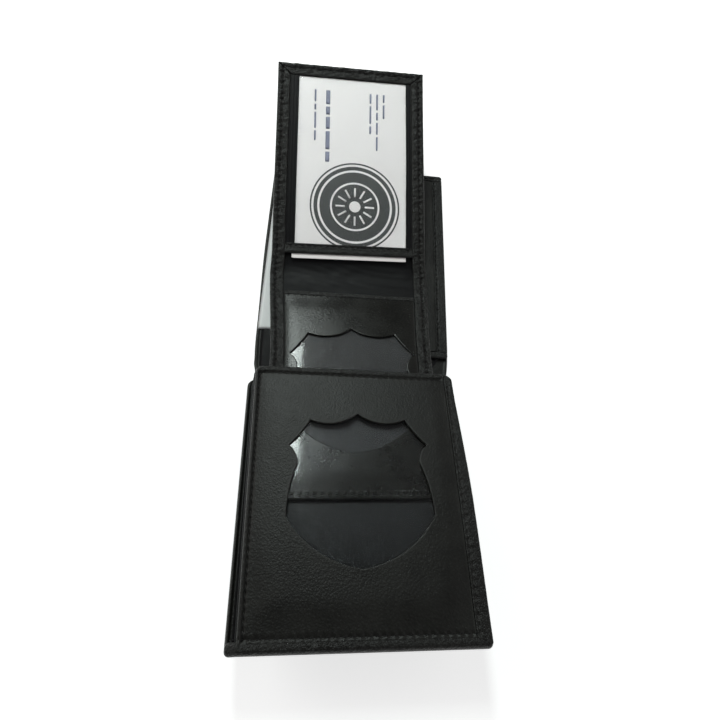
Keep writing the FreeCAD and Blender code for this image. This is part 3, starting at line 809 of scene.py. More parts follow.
# Borders and their thread: three strips round the pocket, and stitches on the two sewn ones
def makeRearBorders():
    look, edge, step = rearLook, rearLook["borderEdge"], rearLook["borderStep"]
    rounding = look["borderRounding"]
    right = slab((rearBorderX, innerRight, edge, step, (rearSeamX,)),
                 (rearBorderFoot, rearBorderY, look["borderEnds"], step),
                 look["pocketLevel"], rearBorderTop, putRear, rounding, rounding)
    makePiece("rearBorderRight", edgeLeather, [right], ("rear_border_right",), "rear_leaf")
    end = slab((rearLeft, innerRight, edge, step), (rearBorderY, rearEnd, edge, step, (rearSeamY,)),
               look["pocketLevel"], rearBorderTop, putRear, rounding, wallet["innerRadius"])
    makePiece("rearBorderEnd", edgeLeather, [end], ("rear_border_end",), "rear_leaf")
    spine = slab((rearLeft, innerRight, edge, 2 * step), (rearFoot, rearBorderFoot, edge, look["spineStep"]),
                 look["pocketLevel"], look["borderTop"], putRear, rounding, look["pocketCorner"])
    makePiece("rearBorderSpine", edgeLeather, [spine], ("rear_border_spine",), "rear_leaf")
    runs = stitches(rearLines, look["borderTop"] + wallet["hair"], putRear, threadLook)
    makePiece("rearStitching", thread, runs, ("rear_stitches",), "rear_leaf")


# Gusset of the note compartment: two strips of lining between the cover and the divider, at the sewn sides
def makeRearGusset():
    look, edge = rearLook, rearLook["gussetEdge"]
    right, head = innerRight - wallet["cornerRadius"], rearEnd - look["gusset"]
    fine, coarse = (edge, look["gussetStep"]), (edge, look["gussetRun"])
    spans = [((right - look["gusset"], right, *fine), (rearFoot, head, *coarse)),
             ((rearLeft + wallet["cornerRadius"], right, *coarse), (head, rearEnd, *fine))]
    strips = [slab(across, along, billFloor + wallet["hair"], look["dividerFloor"], putRear, edge)
              for across, along in spans]
    makePiece("rearGusset", nylon, strips, ("rear_gusset",), "rear_leaf")


# Paper slip in the rear note compartment
slipLook = {
    "left": 1.6, "width": 62.0, "foot": 12.8, "head": 9.0, "floor": 1.575, "thickness": 0.2, "edge": 0.08,
    "step": 1.5, "wave": 0.06, "waveLength": 48.0,
}


# Top of the paper slip: level, with a slow wander
def slipTop(x, y):
    look = slipLook
    return look["floor"] + look["thickness"] + look["wave"] * wander(x, y, look["waveLength"], 3.0)


# Paper slip: a sheet of one thickness in the rear note compartment
def makeSlip():
    look, left = slipLook, -halfWidth + slipLook["left"]
    slip = slab((left, left + look["width"], look["edge"], look["step"]),
                (look["foot"], rearEnd - look["head"], look["edge"], look["step"]),
                lambda x, y: slipTop(x, y) - look["thickness"], slipTop, putRear, look["edge"])
    makePiece("paperSlip", slipPaper, [slip], ("paper_slip",), "paper_slip")


# Shield cut-out: places as shares of its half width and its height
shieldLook = {
    "half": 26.9, "height": 58.9, "arcPoints": 60,
    "arcs": [((0, 0), (0.635, 0.12), (1, 0.31)), ((1, 0.31), (0.965, 0.48), (0.86, 0.65)),
             ((0.86, 0.65), (0.89, 0.72), (0.99, 0.775)), ((0.99, 0.775), (0.83, 0.86), (0.69, 0.956)),
             ((0.69, 0.956), (0.38, 0.93), (0, 1))],
}


# Shield outline with its tip at (x0, y0): arcs up the right side, then the same arcs mirrored down the left
def shieldOutline(x0, y0):
    size = np.array([shieldLook["half"], shieldLook["height"]])
    right = np.concatenate([arcThrough(*(np.array(p) * size for p in arc), shieldLook["arcPoints"])[:-1]
                            for arc in shieldLook["arcs"]])
    left = right[:0:-1] * (-1, 1)
    peak = np.array([[0, shieldLook["height"]]])
    return np.concatenate([right, peak, left]) + (x0, y0)


# Front leaf: note divider, pocket back, plies of the pocket's edges, film, badge panel, hem, border, gusset;
# a seam is its depth, width and pucker
frontLook = {
    "edgeLeft": 5.2, "edgeRight": 8.8, "edgeEnd": 4.4, "edgeOut": 0.2, "backOut": 0.9, "step": 1.5,
    "backEdge": 0.3, "backRounding": 0.35, "plies": 3, "plyStep": 0.25, "plySpan": (0.3, 1.0),
    "plyRounding": 0.4, "plyCorner": 0.5, "mouthFlare": 2.6, "flareFrom": 64.0, "flareRun": 46.0,
    "mouthDrop": 3.0, "outerDrop": 2.4, "dropRun": 30.0, "outerPull": 1.8, "pullRun": 60.0,
    "sideDrop": 0.35, "sideReach": 6.0, "endDrop": 0.75, "endFrom": 2.5, "endReach": 13.0,
    "lowFrom": 4.0, "lowRun": 36.0, "lowWiden": 1.6,
    "endLow": 1.0, "endRoll": 3.3, "endPast": 0.4, "endRise": 0.3, "endDroop": 1.3,
    "droopFrom": 0.6, "droopRun": 3.4,
    "turnedOut": (0.3, 0.1), "turnedFloor": 0.05, "turnedRounding": 1.4, "turnedCorner": 1.6,
    "turnedAcross": (0.6, 0.45), "turnedAlong": (0.5, 0.25), "endLineIn": (1.5, 1.2), "endSeamGap": 0.3,
    "filmMouthGap": 6.0, "filmFoot": 16.0, "filmWave": 0.05, "filmWaveLength": 55.0, "filmEdge": 0.12,
    "filmStep": 1.0, "badgeOffset": 1.4, "shieldTip": 25.0, "panelRings": 5.6, "roll": 1.55, "rollRise": 0.4,
    "rollReach": 3.0, "mouthCorner": 3.0, "puff": 0.3, "puffLeft": 9.0, "puffRight": 7.0, "puffEnd": 15.0,
    "mouthPuff": 0.5, "mouthPuffFrom": 80.0, "mouthPuffRun": 26.0, "puffWave": 0.08, "puffWaveLength": 70.0,
    "hemRise": 0.22, "hemRoll": 0.1, "hemDepth": 0.5, "hemIn": (1.3, 0.2), "hemOut": 0.1, "mouthIn": 1.7,
    "hemWave": 0.04, "hemWaveLength": 9.0, "hemAcross": (0.4, 0.5), "hemAlong": (0.4, 0.25), "hemGap": 0.5,
    "borderWidth": 5.0, "borderOver": 0.2, "borderRise": 0.2, "borderFall": 0.25, "fallFrom": 1.2,
    "fallRun": 1.4, "borderSpan": (0.4, 0.45), "borderRounding": 0.5, "borderCorner": 0.9, "borderEnd": 1.0,
    "seamIn": 0.9, "endCrinkle": 0.04, "hemCrinkle": 0.03, "borderCrinkle": 0.09,
    "sideSeam": (0.5, 0.45, 0.12), "endSeam": (0.4, 0.5, 0.2), "mouthSeam": (0.48, 0.45, 0.12),
    "rollSeam": (0.1, 0.55, 0.2), "borderSeam": (0.45, 0.5, 0.16),
    "threadSink": 0.3, "borderThreadSink": 0.36, "mouthThreadSink": 0.26,
    "gussetBulge": 1.2, "gussetBulgeRun": 80.0, "gussetThickness": 0.4,
    "gussetEdge": 0.1, "gussetShares": (0.01, 0.05), "gussetRounding": 0.05,
}
frontLength = wallet["leafLength"]
frontLeft = -halfWidth + wallet["frontSetback"]
frontBorderX = innerRight - frontLook["borderWidth"]
panelRight = frontBorderX - wallet["groove"]
mouthRight = frontLength - frontLook["mouthDrop"]
mouthSlope = (mouthRight - frontLength) / (panelRight - frontLeft)
cavityLeft, cavityRight = frontLeft + frontLook["edgeLeft"], innerRight - frontLook["edgeRight"]
endEdge, endLow = innerEnd + frontLook["edgeEnd"], innerEnd - frontLook["endLow"]
panelFloor, panelLevel = wallet["pocketPanel"], wallet["pocketTop"]
seamLeft = frontLeft + wallet["seamOffset"]
seamEnd = innerEnd + frontLook["endRoll"] + frontLook["endSeamGap"]
hemSeam = wallet["hemWidth"] + frontLook["hemGap"]      # the hem's seam, measured from the mouth
borderSeam = frontBorderX + frontLook["seamIn"]
endLine = (-halfWidth + frontLook["endLineIn"][0], seamEnd, innerRight - frontLook["endLineIn"][1], seamEnd)
sideLine = (seamLeft, seamEnd, seamLeft, frontLength - hemSeam - frontLook["hemGap"])
mouthLine = (frontLeft + frontLook["mouthIn"], frontLength - hemSeam + frontLook["mouthIn"] * mouthSlope,
             panelRight - frontLook["mouthIn"], mouthRight - hemSeam - frontLook["mouthIn"] * mouthSlope)
borderLine = (borderSeam, seamEnd, borderSeam, mouthRight - frontLook["borderEnd"])


# How far the sewn layers are pressed down: the shares of the left, right and end seams, joined as
# 1 - product(1 - share), with the sides pressed more and wider near the sewn end
def pressed(x, y):
    look = frontLook
    low = 1 - smooth((y - innerEnd - look["lowFrom"]) / look["lowRun"])
    reach = look["sideReach"] * (1 + look["lowWiden"] * low)
    least = look["sideDrop"] / look["endDrop"]
    left = (least + (1 - least) * low) * (1 - smooth((x - frontLeft) / reach))
    right = low * (1 - smooth((panelRight - x) / reach))
    end = 1 - smooth((y - innerEnd - look["endFrom"]) / look["endReach"])
    return look["endDrop"] * (1 - (1 - left) * (1 - right) * (1 - end))


# Underside of the pressed badge panel
def pressedFloor(x, y):
    return panelFloor - pressed(x, y)


# Far ends follow the slanting mouth, and drop more toward the outer corner by the square of the way out
def mouthPlan(x, y):
    look = frontLook
    out = np.clip((x - frontBorderX) / (innerRight - frontBorderX), 0, 1)
    drop = np.minimum((frontLeft - x) * mouthSlope, look["mouthDrop"]) + look["outerDrop"] * out ** 2
    pull = look["outerPull"] * out * smooth((y - frontLength + look["pullRun"]) / look["pullRun"])
    return x - pull, y - drop * smooth((y - frontLength + look["dropRun"]) / look["dropRun"])


# The pocket is wider at its mouth: the inner sides of its edges move out there by a smooth step
def flaredPlan(x, y):
    look = frontLook
    reach = look["mouthFlare"] * smooth((y - look["flareFrom"]) / look["flareRun"])
    left = np.clip((x - frontLeft) / look["edgeLeft"], 0, 1)
    right = np.clip((innerRight - x) / look["edgeRight"], 0, 1)
    return mouthPlan(x + reach * np.where(x < 0, -left, right), y)


# Divider and back of the badge pocket: two slabs with a slanting mouth
def makePocketBack():
    look, edge, step = frontLook, frontLook["filmEdge"], frontLook["step"]
    cloth = slab((frontLeft, innerRight, edge, step), (0, frontLength, edge, step), 0.0,
                 wallet["divider"] - wallet["hair"], putPocket, edge, wallet["innerRadius"], mouthPlan)
    divider = makePiece("frontDivider", nylon, [cloth], ("front_divider",), "front_leaf")
    edge = look["backEdge"]
    back = slab((frontLeft - look["backOut"], innerRight, edge, step), (innerEnd, frontLength, edge, step),
                wallet["divider"], wallet["pocketFloor"], putPocket, look["backRounding"],
                wallet["innerRadius"], mouthPlan)
    makePiece("pocketBack", smoothLeather, [back], ("pocket_back",), "front_leaf")


# Height at a share of the way from the pocket's floor to its pressed panel
def plyHeight(share):
    floor = wallet["pocketFloor"]
    return lambda x, y: floor + share * (panelFloor - floor - pressed(x, y))


# Plies of leather between the pocket's back and its panel, each a little behind the one below
def plies(x0, x1, y0, y1, backLeft, backRight, backEnd):
    look, count, made = frontLook, frontLook["plies"], []
    for ply in range(count):
        back = ply * look["plyStep"]
        made.append(slab((x0 + back * backLeft, x1 - back * backRight, *look["plySpan"]),
                         (y0 + back * backEnd, y1, *look["plySpan"]), plyHeight(ply / count),
                         plyHeight((ply + 1) / count), putPocket, look["plyRounding"], look["plyCorner"],
                         flaredPlan))
    return made


# Leather turned over the sewn end: a roll across the whole leaf, lower where no pocket is under it
def endTop(x, y):
    look = frontLook
    droop = look["endDroop"] * smooth((frontLeft + look["droopFrom"] - x) / look["droopRun"])
    crease = seamDent(x, y, [endLine], *look["rollSeam"]) + crinkled(x, y, look["endCrinkle"], 1.1)
    roll = rolled(y - endLow, look["endRoll"] + look["endPast"], look["endRise"])
    return panelLevel - pressed(x, y) - droop + roll + crease


# Left, right and end edges of the pocket: plies, and over the end a rolled strip
def makePocketEdges():
    look, left = frontLook, frontLeft - frontLook["edgeOut"]
    makePiece("pocketEdgeLeft", edgeLeather, plies(left, cavityLeft, endEdge, frontLength, 1, 0, 0),
              ("pocket_edge_left",), "front_leaf")
    makePiece("pocketEdgeRight", edgeLeather, plies(cavityRight, innerRight, endEdge, frontLength, 0, 0.5, 0),
              ("pocket_edge_right",), "front_leaf")
    outLeft, outRight = look["turnedOut"]
    turned = slab((-halfWidth + outLeft, innerRight + outRight, *look["turnedAcross"]),
                  (endLow, innerEnd + look["endRoll"], *look["turnedAlong"]), look["turnedFloor"], endTop,
                  putPocket, look["turnedRounding"], look["turnedCorner"])
    under = plies(left, innerRight, innerEnd, endEdge, 1, 0.5, 0.4)
    makePiece("pocketEdgeEnd", edgeLeather, under + [turned], ("pocket_edge_end",), "front_leaf")


# Top of the badge window's film: under the pressed panel, with a slow wander
def badgeFilmTop(x, y):
    wave = frontLook["filmWave"]
    return panelFloor + wave * wander(x, y, frontLook["filmWaveLength"], 1.3) - wave - pressed(x, y)


# Film under the badge panel: a sheet of one thickness, in the darker vinyl whose tint is painted shade
def makeBadgeWindow():
    look, edge, step = frontLook, frontLook["filmEdge"], frontLook["filmStep"]
    window = slab((cavityLeft, cavityRight, edge, step),
                  (look["filmFoot"], frontLength - look["filmMouthGap"], edge, step),
                  lambda x, y: badgeFilmTop(x, y) - wallet["film"] + look["filmWave"],
                  badgeFilmTop, putPocket, edge)
    makePiece("badgeWindow", shadedPocketFilm, [window], ("badge_window",), "front_leaf")


# Padding of the badge panel: full in its middle, none at its seams, half at its mouth, with a slow wander
def puffed(x, y):
    look = frontLook
    left, right = smooth((x - seamLeft) / look["puffLeft"]), smooth((panelRight - x) / look["puffRight"])
    inset = np.minimum(left, right) * smooth((y - seamEnd) / look["puffEnd"])
    nearMouth = smooth((y - look["mouthPuffFrom"]) / look["mouthPuffRun"])
    swell = look["puff"] * inset * (1 - look["mouthPuff"] * nearMouth)
    return swell + look["puffWave"] * wander(x, y, look["puffWaveLength"], 0.4) * inset


# Top of the badge panel: padding, seams, and a roll up the left edge and round the mouth's corner
def badgePanelTop(x, y):
    look, bend = frontLook, frontLook["mouthCorner"]
    side, head = x - frontLeft, frontLength + (x - frontLeft) * mouthSlope - y
    reach = bend - np.hypot(np.maximum(bend - side, 0), np.maximum(bend - head, 0))
    past = smooth((side - look["rollReach"]) / look["rollReach"])
    edge = rolled(reach, look["roll"], look["rollRise"]) * (1 - past)
    dent = seamDent(x, y, [sideLine], *look["sideSeam"]) + seamDent(x, y, [endLine], *look["endSeam"])
    dent = dent + seamDent(x, y, [mouthLine], *look["mouthSeam"])
    return panelLevel - pressed(x, y) + puffed(x, y) + edge + dent


# Outline of the hem: rows slant with the mouth
def badgeHemPlan(x, y):
    return x, y + (x - frontLeft) * mouthSlope


# Top of the hem: a low roll from its foot to the mouth, with fine creases
def badgeHemTop(x, y):
    look = frontLook
    inset = y - (x - frontLeft) * mouthSlope - (frontLength - wallet["hemWidth"])
    roll = look["hemRise"] + rolled(inset, wallet["hemWidth"], look["hemRoll"])
    crease = look["hemWave"] * wander(x, 0 * y, look["hemWaveLength"], 0.2)
    crease = crease + crinkled(x, y, look["hemCrinkle"], 0.6)
    return panelLevel - pressed(x, y) + roll + crease


# Badge panel with its shield cut out, and the hem along its mouth
def makeBadgePanel():
    look, bend = frontLook, wallet["innerRadius"]
    corners = [(frontLeft, innerEnd), (panelRight, innerEnd), (panelRight, mouthRight),
               (frontLeft, frontLength)]
    shield = shieldOutline(wallet["insertCentre"] + look["badgeOffset"], look["shieldTip"])
    # The shield's cut edge keeps the default pale rim, a painted highlight
    panel = holedSlab(corners, (bend, bend, bend, look["mouthCorner"]), shield, pressedFloor, badgePanelTop,
                      putPocket, look["panelRings"])
    makePiece("badgePanel", leather, [panel], ("badge_panel",), "front_leaf")
    inLeft, inRight = look["hemIn"]
    hem = slab((frontLeft + inLeft, panelRight - inRight, *look["hemAcross"]),
               (frontLength - wallet["hemWidth"], frontLength + look["hemOut"], *look["hemAlong"]),
               lambda x, y: panelLevel - look["hemDepth"] - pressed(x, y), badgeHemTop, putPocket,
               look["borderRounding"], look["borderCorner"], badgeHemPlan)
    makePiece("badgePanelHem", edgeLeather, [hem], ("badge_panel_hem",), "front_leaf")


# Top of the right border: level, falling toward the panel by a smooth step, with a seam and fine creases
def frontBorderTop(x, y):
    look = frontLook
    dent = seamDent(x, y, [borderLine], *look["borderSeam"]) + crinkled(x, y, look["borderCrinkle"], 2.0)
    fall = look["borderFall"] * smooth((frontBorderX + look["fallFrom"] - x) / look["fallRun"])
    return panelLevel + look["borderRise"] - pressed(x, y) - fall + dent


# Height of the thread: the pressed panel's level less how far the thread is sunk
def sunkThread(sink):
    return lambda x, y: panelLevel - pressed(x, y) - sink


# Right border, and the thread of all the front leaf's seams, sunk into their valleys
def makeFrontBorder():
    look = frontLook
    border = slab((frontBorderX - look["borderOver"], innerRight, *look["borderSpan"], (borderSeam,)),
                  (innerEnd, frontLength, *look["borderSpan"]), pressedFloor, frontBorderTop, putPocket,
                  look["borderRounding"], look["borderCorner"], mouthPlan)
    makePiece("frontBorder", edgeLeather, [border], ("front_border",), "front_leaf")
    runs = stitches([sideLine, endLine], sunkThread(look["threadSink"]), putPocket, threadLook)
    runs += stitches([borderLine], sunkThread(look["borderThreadSink"]), putPocket, threadLook)
    makePiece("frontStitching", thread, runs, ("front_stitches",), "front_leaf")
    runs = stitches([mouthLine], panelLevel - look["mouthThreadSink"], putPocket, threadLook)
    makePiece("mouthStitching", thread, runs, ("mouth_stitches",), "front_leaf")


# Wall between cover and pocket: its height grows with the distance from the sewn end, and it folds inward by
# half a sine
def putGusset(y, share, depth):
    look = frontLook
    height = y * np.tan(np.radians(wallet["pocketGape"]))
    bulge = look["gussetBulge"] * np.sin(np.pi * share) * smooth(y / look["gussetBulgeRun"])
    return putFront(innerRight - wallet["cornerRadius"] / 2 - depth - bulge, y, billFloor + share * height)


# Gusset on the sewn right side: a slab of length by share of the height
def makeFrontGusset():
    look, corner = frontLook, wallet["cornerRadius"]
    wall = slab((corner, frontLength - corner, look["gussetEdge"], look["step"]),
                (0, 1, *look["gussetShares"]), 0.0, look["gussetThickness"], putGusset,
                look["gussetRounding"])
    makePiece("frontGusset", nylon, [wall], ("front_gusset",), "front_leaf")


# Insert: back, lining, borders, sewn end, film, badge panel and hem, with the fold and the card flap above;
# a seam or dent is its depth, width and pucker, and a fall is its depth, where it starts and its run
insertLook = {
    "step": 1.5, "backEdge": 0.3, "backRounding": 0.35, "backCorner": 0.8, "foldReach": 4.0, "foldRows": 22,
    "pared": 0.25, "paredWidth": 9.0, "foldSink": 0.26, "sinkWidth": 8.0,
    "liningIn": 0.4, "liningFoot": 0.3, "liningEdge": 0.08, "liningStep": 0.8, "liningThickness": 0.18,
    "wrinkle": 0.07, "creaseRows": (95.0, 120.0, 60), "borderWidth": 5.85, "borderFall": 0.15, "fallRun": 3.0,
    "borderAcross": (0.45, 0.5), "borderAlong": (0.4, 0.45), "topAcross": (0.45, 0.45),
    "topAlong": (0.45, 0.4), "borderRounding": 0.6, "levelLead": 2.0, "mitreGap": 0.3,
    "sideSeamIn": 2.3, "sideSeam": (0.6, 0.5, 0.28), "crinkle": 0.2, "panelDrop": 4.2, "headDrop": 2.4,
    "endSeam": 3.0, "endSeamStep": 0.6, "filmGap": 6.0, "filmEdge": 0.1, "filmStep": 1.0,
    "filmWave": 0.04, "filmWaveLength": 47.0,
    "badgeOffset": 0.3, "shieldTip": 17.7, "panelRings": 1.1, "panelCorner": 0.6, "holeRounding": 0.12,
    "holeRimHighlight": 0.0, "puff": 0.2, "puffSide": 6.0, "puffEnd": 8.0, "puffIn": 3.0, "sideLow": 0.12,
    "sideLowWidth": 1.2, "underHem": 0.2, "footRise": 0.1, "footSpan": (0.3, 0.25), "panelSpan": (0.3, 0.45),
    "footRounding": 0.35, "footCorner": 0.4, "hemBelow": 1.3, "hemOut": 0.1, "hemFloor": 0.2, "hemGap": 0.3,
    "hemAcross": (0.4, 0.45), "hemAlong": (0.4, 0.22), "hemRounding": 0.45, "hemCorner": 0.5,
    "footSeam": 3.6, "footDent": (0.4, 0.5, 0.34), "headDent": (0.5, 0.45, 0.18),
    "footFall": (0.2, 2.6, 1.0), "footLow": (0.35, 1.1), "hemFall": (0.15, 0.4, 0.8), "hemRiseRun": 0.6,
    "hemCrinkle": 0.03, "underFrom": 1, "underRun": 2, "strapRollAt": 1.0, "strapRollWidth": 1.0,
    "hemRise": 0.35, "lineIn": 0.6, "sideThreadSink": 0.4, "headThreadSink": 0.2,
    "windowHalf": 28.4, "windowEnd": 90.15, "filmLevel": 1.95, "flapWave": 0.03, "flapWaveLength": 60.0,
    "strapFoot": 3.8, "strapWidth": 4.8, "strapSeamIn": 0.9, "strapDrop": 0.4, "strapRoll": 0.3,
    "strapSeam": (0.25, 0.5, 0.14), "strapCrinkle": 0.08, "strapOut": 0.6, "strapLineIn": 0.5,
    "strapRounding": 0.5, "strapAcross": (0.4, 0.5), "strapAlong": (0.45, 0.35),
    "weltIn": (24.5, 26.1), "weltOut": 0.3, "weltEnds": (0.5, 0.2), "weltRise": 0.3, "weltPitch": 1.3,
    "weltRib": 0.45, "weltSink": 0.1, "weltAcross": (0.2, 0.4), "weltAlong": (0.2, 1.2), "weltRounding": 0.25,
}
insertHalf = wallet["insertWidth"] / 2
insertInside = insertHalf - insertLook["borderWidth"]
panelHalf = insertInside - wallet["groove"]
insertFloor, insertFace, insertTop = wallet["insertFloor"], wallet["insertFace"], wallet["insertTop"]
sideSeamX = insertHalf - insertLook["sideSeamIn"]
flapSeam = insertEnd - insertLook["sideSeamIn"]
windowHalf, windowEnd = insertLook["windowHalf"], flapFoot + insertLook["windowEnd"]
panelHead = foldStart - insertLook["panelDrop"]
headSeam = panelHead - wallet["hemWidth"] - insertLook["hemGap"]
headSlope = insertLook["headDrop"] / (2 * panelHalf)
lineHalf = panelHalf - insertLook["lineIn"]
footLine = (-lineHalf, wallet["seamOffset"], lineHalf, wallet["seamOffset"])
headLine = (-lineHalf, headSeam, lineHalf, headSeam - insertLook["headDrop"])
topLine = (-sideSeamX, flapSeam, sideSeamX, flapSeam)
sideLines = [(side * sideSeamX, 0.0, side * sideSeamX, flapSeam) for side in (-1, 1)]
strapLow = flapFoot + insertLook["strapFoot"]
strapHigh = strapLow + insertLook["strapWidth"]
strapSeam = strapHigh - insertLook["strapSeamIn"]
strapLineHalf = windowHalf - insertLook["strapLineIn"]
strapLine = (-strapLineHalf, strapSeam, strapLineHalf, strapSeam)


# Creases of the lining: how far past the fold's middle they lie, how they bow and slant, and three trains of
# waves, each with its wave length, its height and how fast it comes and goes across
creaseLook = {
    "past": 1, "reach": 9, "flatFrom": 24, "flatRun": 5, "bow": 1.6, "bowRun": 9, "bowStart": 0.6,
    "slant": 0.35, "longWave": 9.5, "longHeight": 0.6, "longRun": 7, "crossWave": 7.3, "crossHeight": 0.7,
    "crossSlant": 0.5, "crossRun": 5.3, "shortWave": 3.4, "shortHeight": 0.5, "shortRun": 5,
}


# Creases of the lining across the fold: slanting trains of waves that come and go, held flat at the borders
def creases(x, s):
    look, wave = creaseLook, 2 * np.pi
    middle = 1 - smooth((abs(x) - look["flatFrom"]) / look["flatRun"])
    here = bell(s - foldMiddle - look["past"], look["reach"]) * middle
    bow = s + look["bow"] * np.sin(x / look["bowRun"] + look["bowStart"]) + look["slant"] * x
    height = look["longHeight"]
    long = np.sin(bow * wave / look["longWave"]) * (height + height * np.sin(x / look["longRun"] - 1))
    cross = look["crossHeight"] * np.sin((s - look["crossSlant"] * x) * wave / look["crossWave"] + 1)
    cross = cross * (0.5 + 0.5 * np.sin(x / look["crossRun"] + 2))
    short = look["shortHeight"] * np.sin(bow * wave / look["shortWave"] - x / look["shortRun"])
    return insertLook["wrinkle"] * here * (1 + (long + cross) + short)


# Underside of the insert's leather: pared thin where it folds, by a bell
def backLow(x, s):
    return insertLook["pared"] * bell(s - foldMiddle, insertLook["paredWidth"])


# How far leather and lining sink at the fold: a bell
def foldSunk(s):
    return insertLook["foldSink"] * bell(s - foldMiddle, insertLook["sinkWidth"])


# Top of the insert's leather: level, sunk at the fold
def backTop(x, s):
    return wallet["insertLeather"] - foldSunk(s)


# Top of the insert's lining: level, with creases and sunk at the fold
def insertLiningTop(x, s):
    return insertFloor + creases(x, s) - foldSunk(s)


# Back and lining of the insert, the fold and the flap: slabs along all three, bent at the fold
def makeInsertBack():
    look = insertLook
    foldMarks = np.linspace(foldStart - look["foldReach"], flapFoot + look["foldReach"], look["foldRows"])
    span = (look["backEdge"], look["step"])
    back = slab((-insertHalf, insertHalf, *span), (0, insertEnd, *span, foldMarks, (0,)), backLow, backTop,
                putFold, look["backRounding"], look["backCorner"])
    bendAtFold(makePiece("insertBack", leather, [back], ("insert_back", "fold_leather", "flap_back")))
    edge, half = look["liningEdge"], insertHalf - look["liningIn"]
    creaseMarks = np.linspace(*look["creaseRows"])
    cloth = slab((-half, half, edge, look["liningStep"]),
                 (look["liningFoot"], insertEnd - look["liningIn"], edge, look["step"], creaseMarks, (0,)),
                 lambda x, s: insertLiningTop(x, s) - look["liningThickness"], insertLiningTop, putFold, edge)
    lining = makePiece("insertLining", nylon, [cloth], ("insert_lining", "fold_lining", "flap_lining"))
    bendAtFold(lining)


# Level of the side borders: the insert's below the fold and the flap's above, by a smooth step
def sideLevel(s):
    lead = insertLook["levelLead"]
    return insertTop + (wallet["flapTop"] - insertTop) * smooth((s - foldStart + lead) / (foldRun + lead))


# Side borders end in a mitre: the far end slants from the window's corner to the flap's corner
def sidePlan(x, s):
    far = windowEnd + (insertEnd - windowEnd) * (abs(x) - windowHalf) / (insertHalf - windowHalf)
    return x, s * far / insertEnd


# Top of a side border: falls toward the window, with the seam's dents and fine creases
def sideTop(side, line):
    look = insertLook

    # the border's level less the fall, plus dents and creases
    def top(x, s):
        fall = look["borderFall"] * smooth((insertHalf - abs(x) - look["fallRun"]) / look["fallRun"])
        dent = seamDent(x, s, [line], *look["sideSeam"])
        return sideLevel(s) - fall + dent + crinkled(x, s, look["crinkle"], 3 + side)
    return top


# Outline of the top border: widens from the window's corners to the flap's, to meet the side mitres
def topPlan(x, s):
    low = windowEnd + wallet["groove"] * insertLook["mitreGap"]
    share = (s - low) / (insertEnd - low)
    return x * (windowHalf + (insertHalf - windowHalf) * share) / insertHalf, s


# Top of the top border: level, with the seam's dents and fine creases
def topTop(x, s):
    dent = seamDent(x, s, [topLine], *insertLook["sideSeam"])
    return wallet["flapTop"] + dent + crinkled(x, s, insertLook["crinkle"], 5.0)


# Borders: one down each side, bent at the fold, and one across the flap's top
def makeInsertBorders():
    look = insertLook
    for side, hand, line in zip((-1, 1), ("left", "right"), sideLines):
        low, high = sorted((side * insertInside, side * insertHalf))
        strip = slab((low, high, *look["borderAcross"], (side * sideSeamX,)),
                     (0, insertEnd, *look["borderAlong"]), insertFloor, sideTop(side, line), putFold,
                     look["borderRounding"], plan=sidePlan)
        bendAtFold(makePiece("sideBorder" + hand.capitalize(), edgeLeather, [strip],
                             ("insert_border_" + hand, "fold_borders", "flap_border_" + hand)))
    across = slab((-insertHalf, insertHalf, *look["topAcross"]),
                  (windowEnd, insertEnd, *look["topAlong"], (flapSeam,)), insertFloor, topTop, putFold,
                  look["borderRounding"], plan=topPlan)
    makePiece("flapBorderTop", edgeLeather, [across], ("flap_border_top",), "card_flap")


# Top of the insert's film: a hair under the panel, with a slow wander
def insertFilmTop(x, s):
    wave = insertLook["filmWave"]
    return insertFace - wave + wave * wander(x, s, insertLook["filmWaveLength"], 2.2)


# Sewn end and film of the insert: two thin slabs under the badge panel
def makeInsertWindow():
    look, edge, step = insertLook, insertLook["filmEdge"], insertLook["filmStep"]
    end = slab((-panelHalf, panelHalf, edge, look["step"]), (0, look["endSeam"], edge, look["endSeamStep"]),
               insertFloor, insertFace, putFold, edge)
    makePiece("insertEndSeam", edgeLeather, [end], ("insert_end_seam",), "badge_insert")
    window = slab((-panelHalf, panelHalf, edge, step),
                  (look["endSeam"], panelHead - look["filmGap"], edge, step),
                  insertFloor + wallet["hair"], insertFilmTop, putFold, edge)
    makePiece("insertWindow", film, [window], ("insert_window",), "badge_insert")


# Place along the insert as if the panel's slanting head were square
def square(x, s):
    return s + (x + panelHalf) * headSlope


# Outline of the hem: rows slant with the panel's head
def insertHemPlan(x, s):
    return x, s - (x + panelHalf) * headSlope


# Top of the insert's badge panel: padded in its middle, lower beside the borders and under the hem
def insertPanelTop(x, s):
    look, u, side = insertLook, square(x, s), panelHalf - abs(x)
    foot = smooth((s - look["puffIn"]) / look["puffEnd"])
    head = smooth((panelHead - look["puffIn"] - u) / look["puffEnd"])
    inset = smooth(side / look["puffSide"]) * foot * head
    under = look["underHem"] * smooth((u - headSeam - look["underFrom"]) / look["underRun"])
    return insertTop + look["puff"] * inset - look["sideLow"] * bell(side, look["sideLowWidth"]) - under


# Top of the sewn foot: raised by its seam's puckers, level with the panel where it ends, and low at its edge
def insertFootTop(x, s):
    dent = seamDent(x, s, [footLine], *insertLook["footDent"])
    level = insertTop + insertLook["footRise"] + dent
    fall, fallFrom, fallRun = insertLook["footFall"]
    low, lowRun = insertLook["footLow"]
    return level - fall * smooth((s - fallFrom) / fallRun) - low * smooth((lowRun - s) / lowRun)


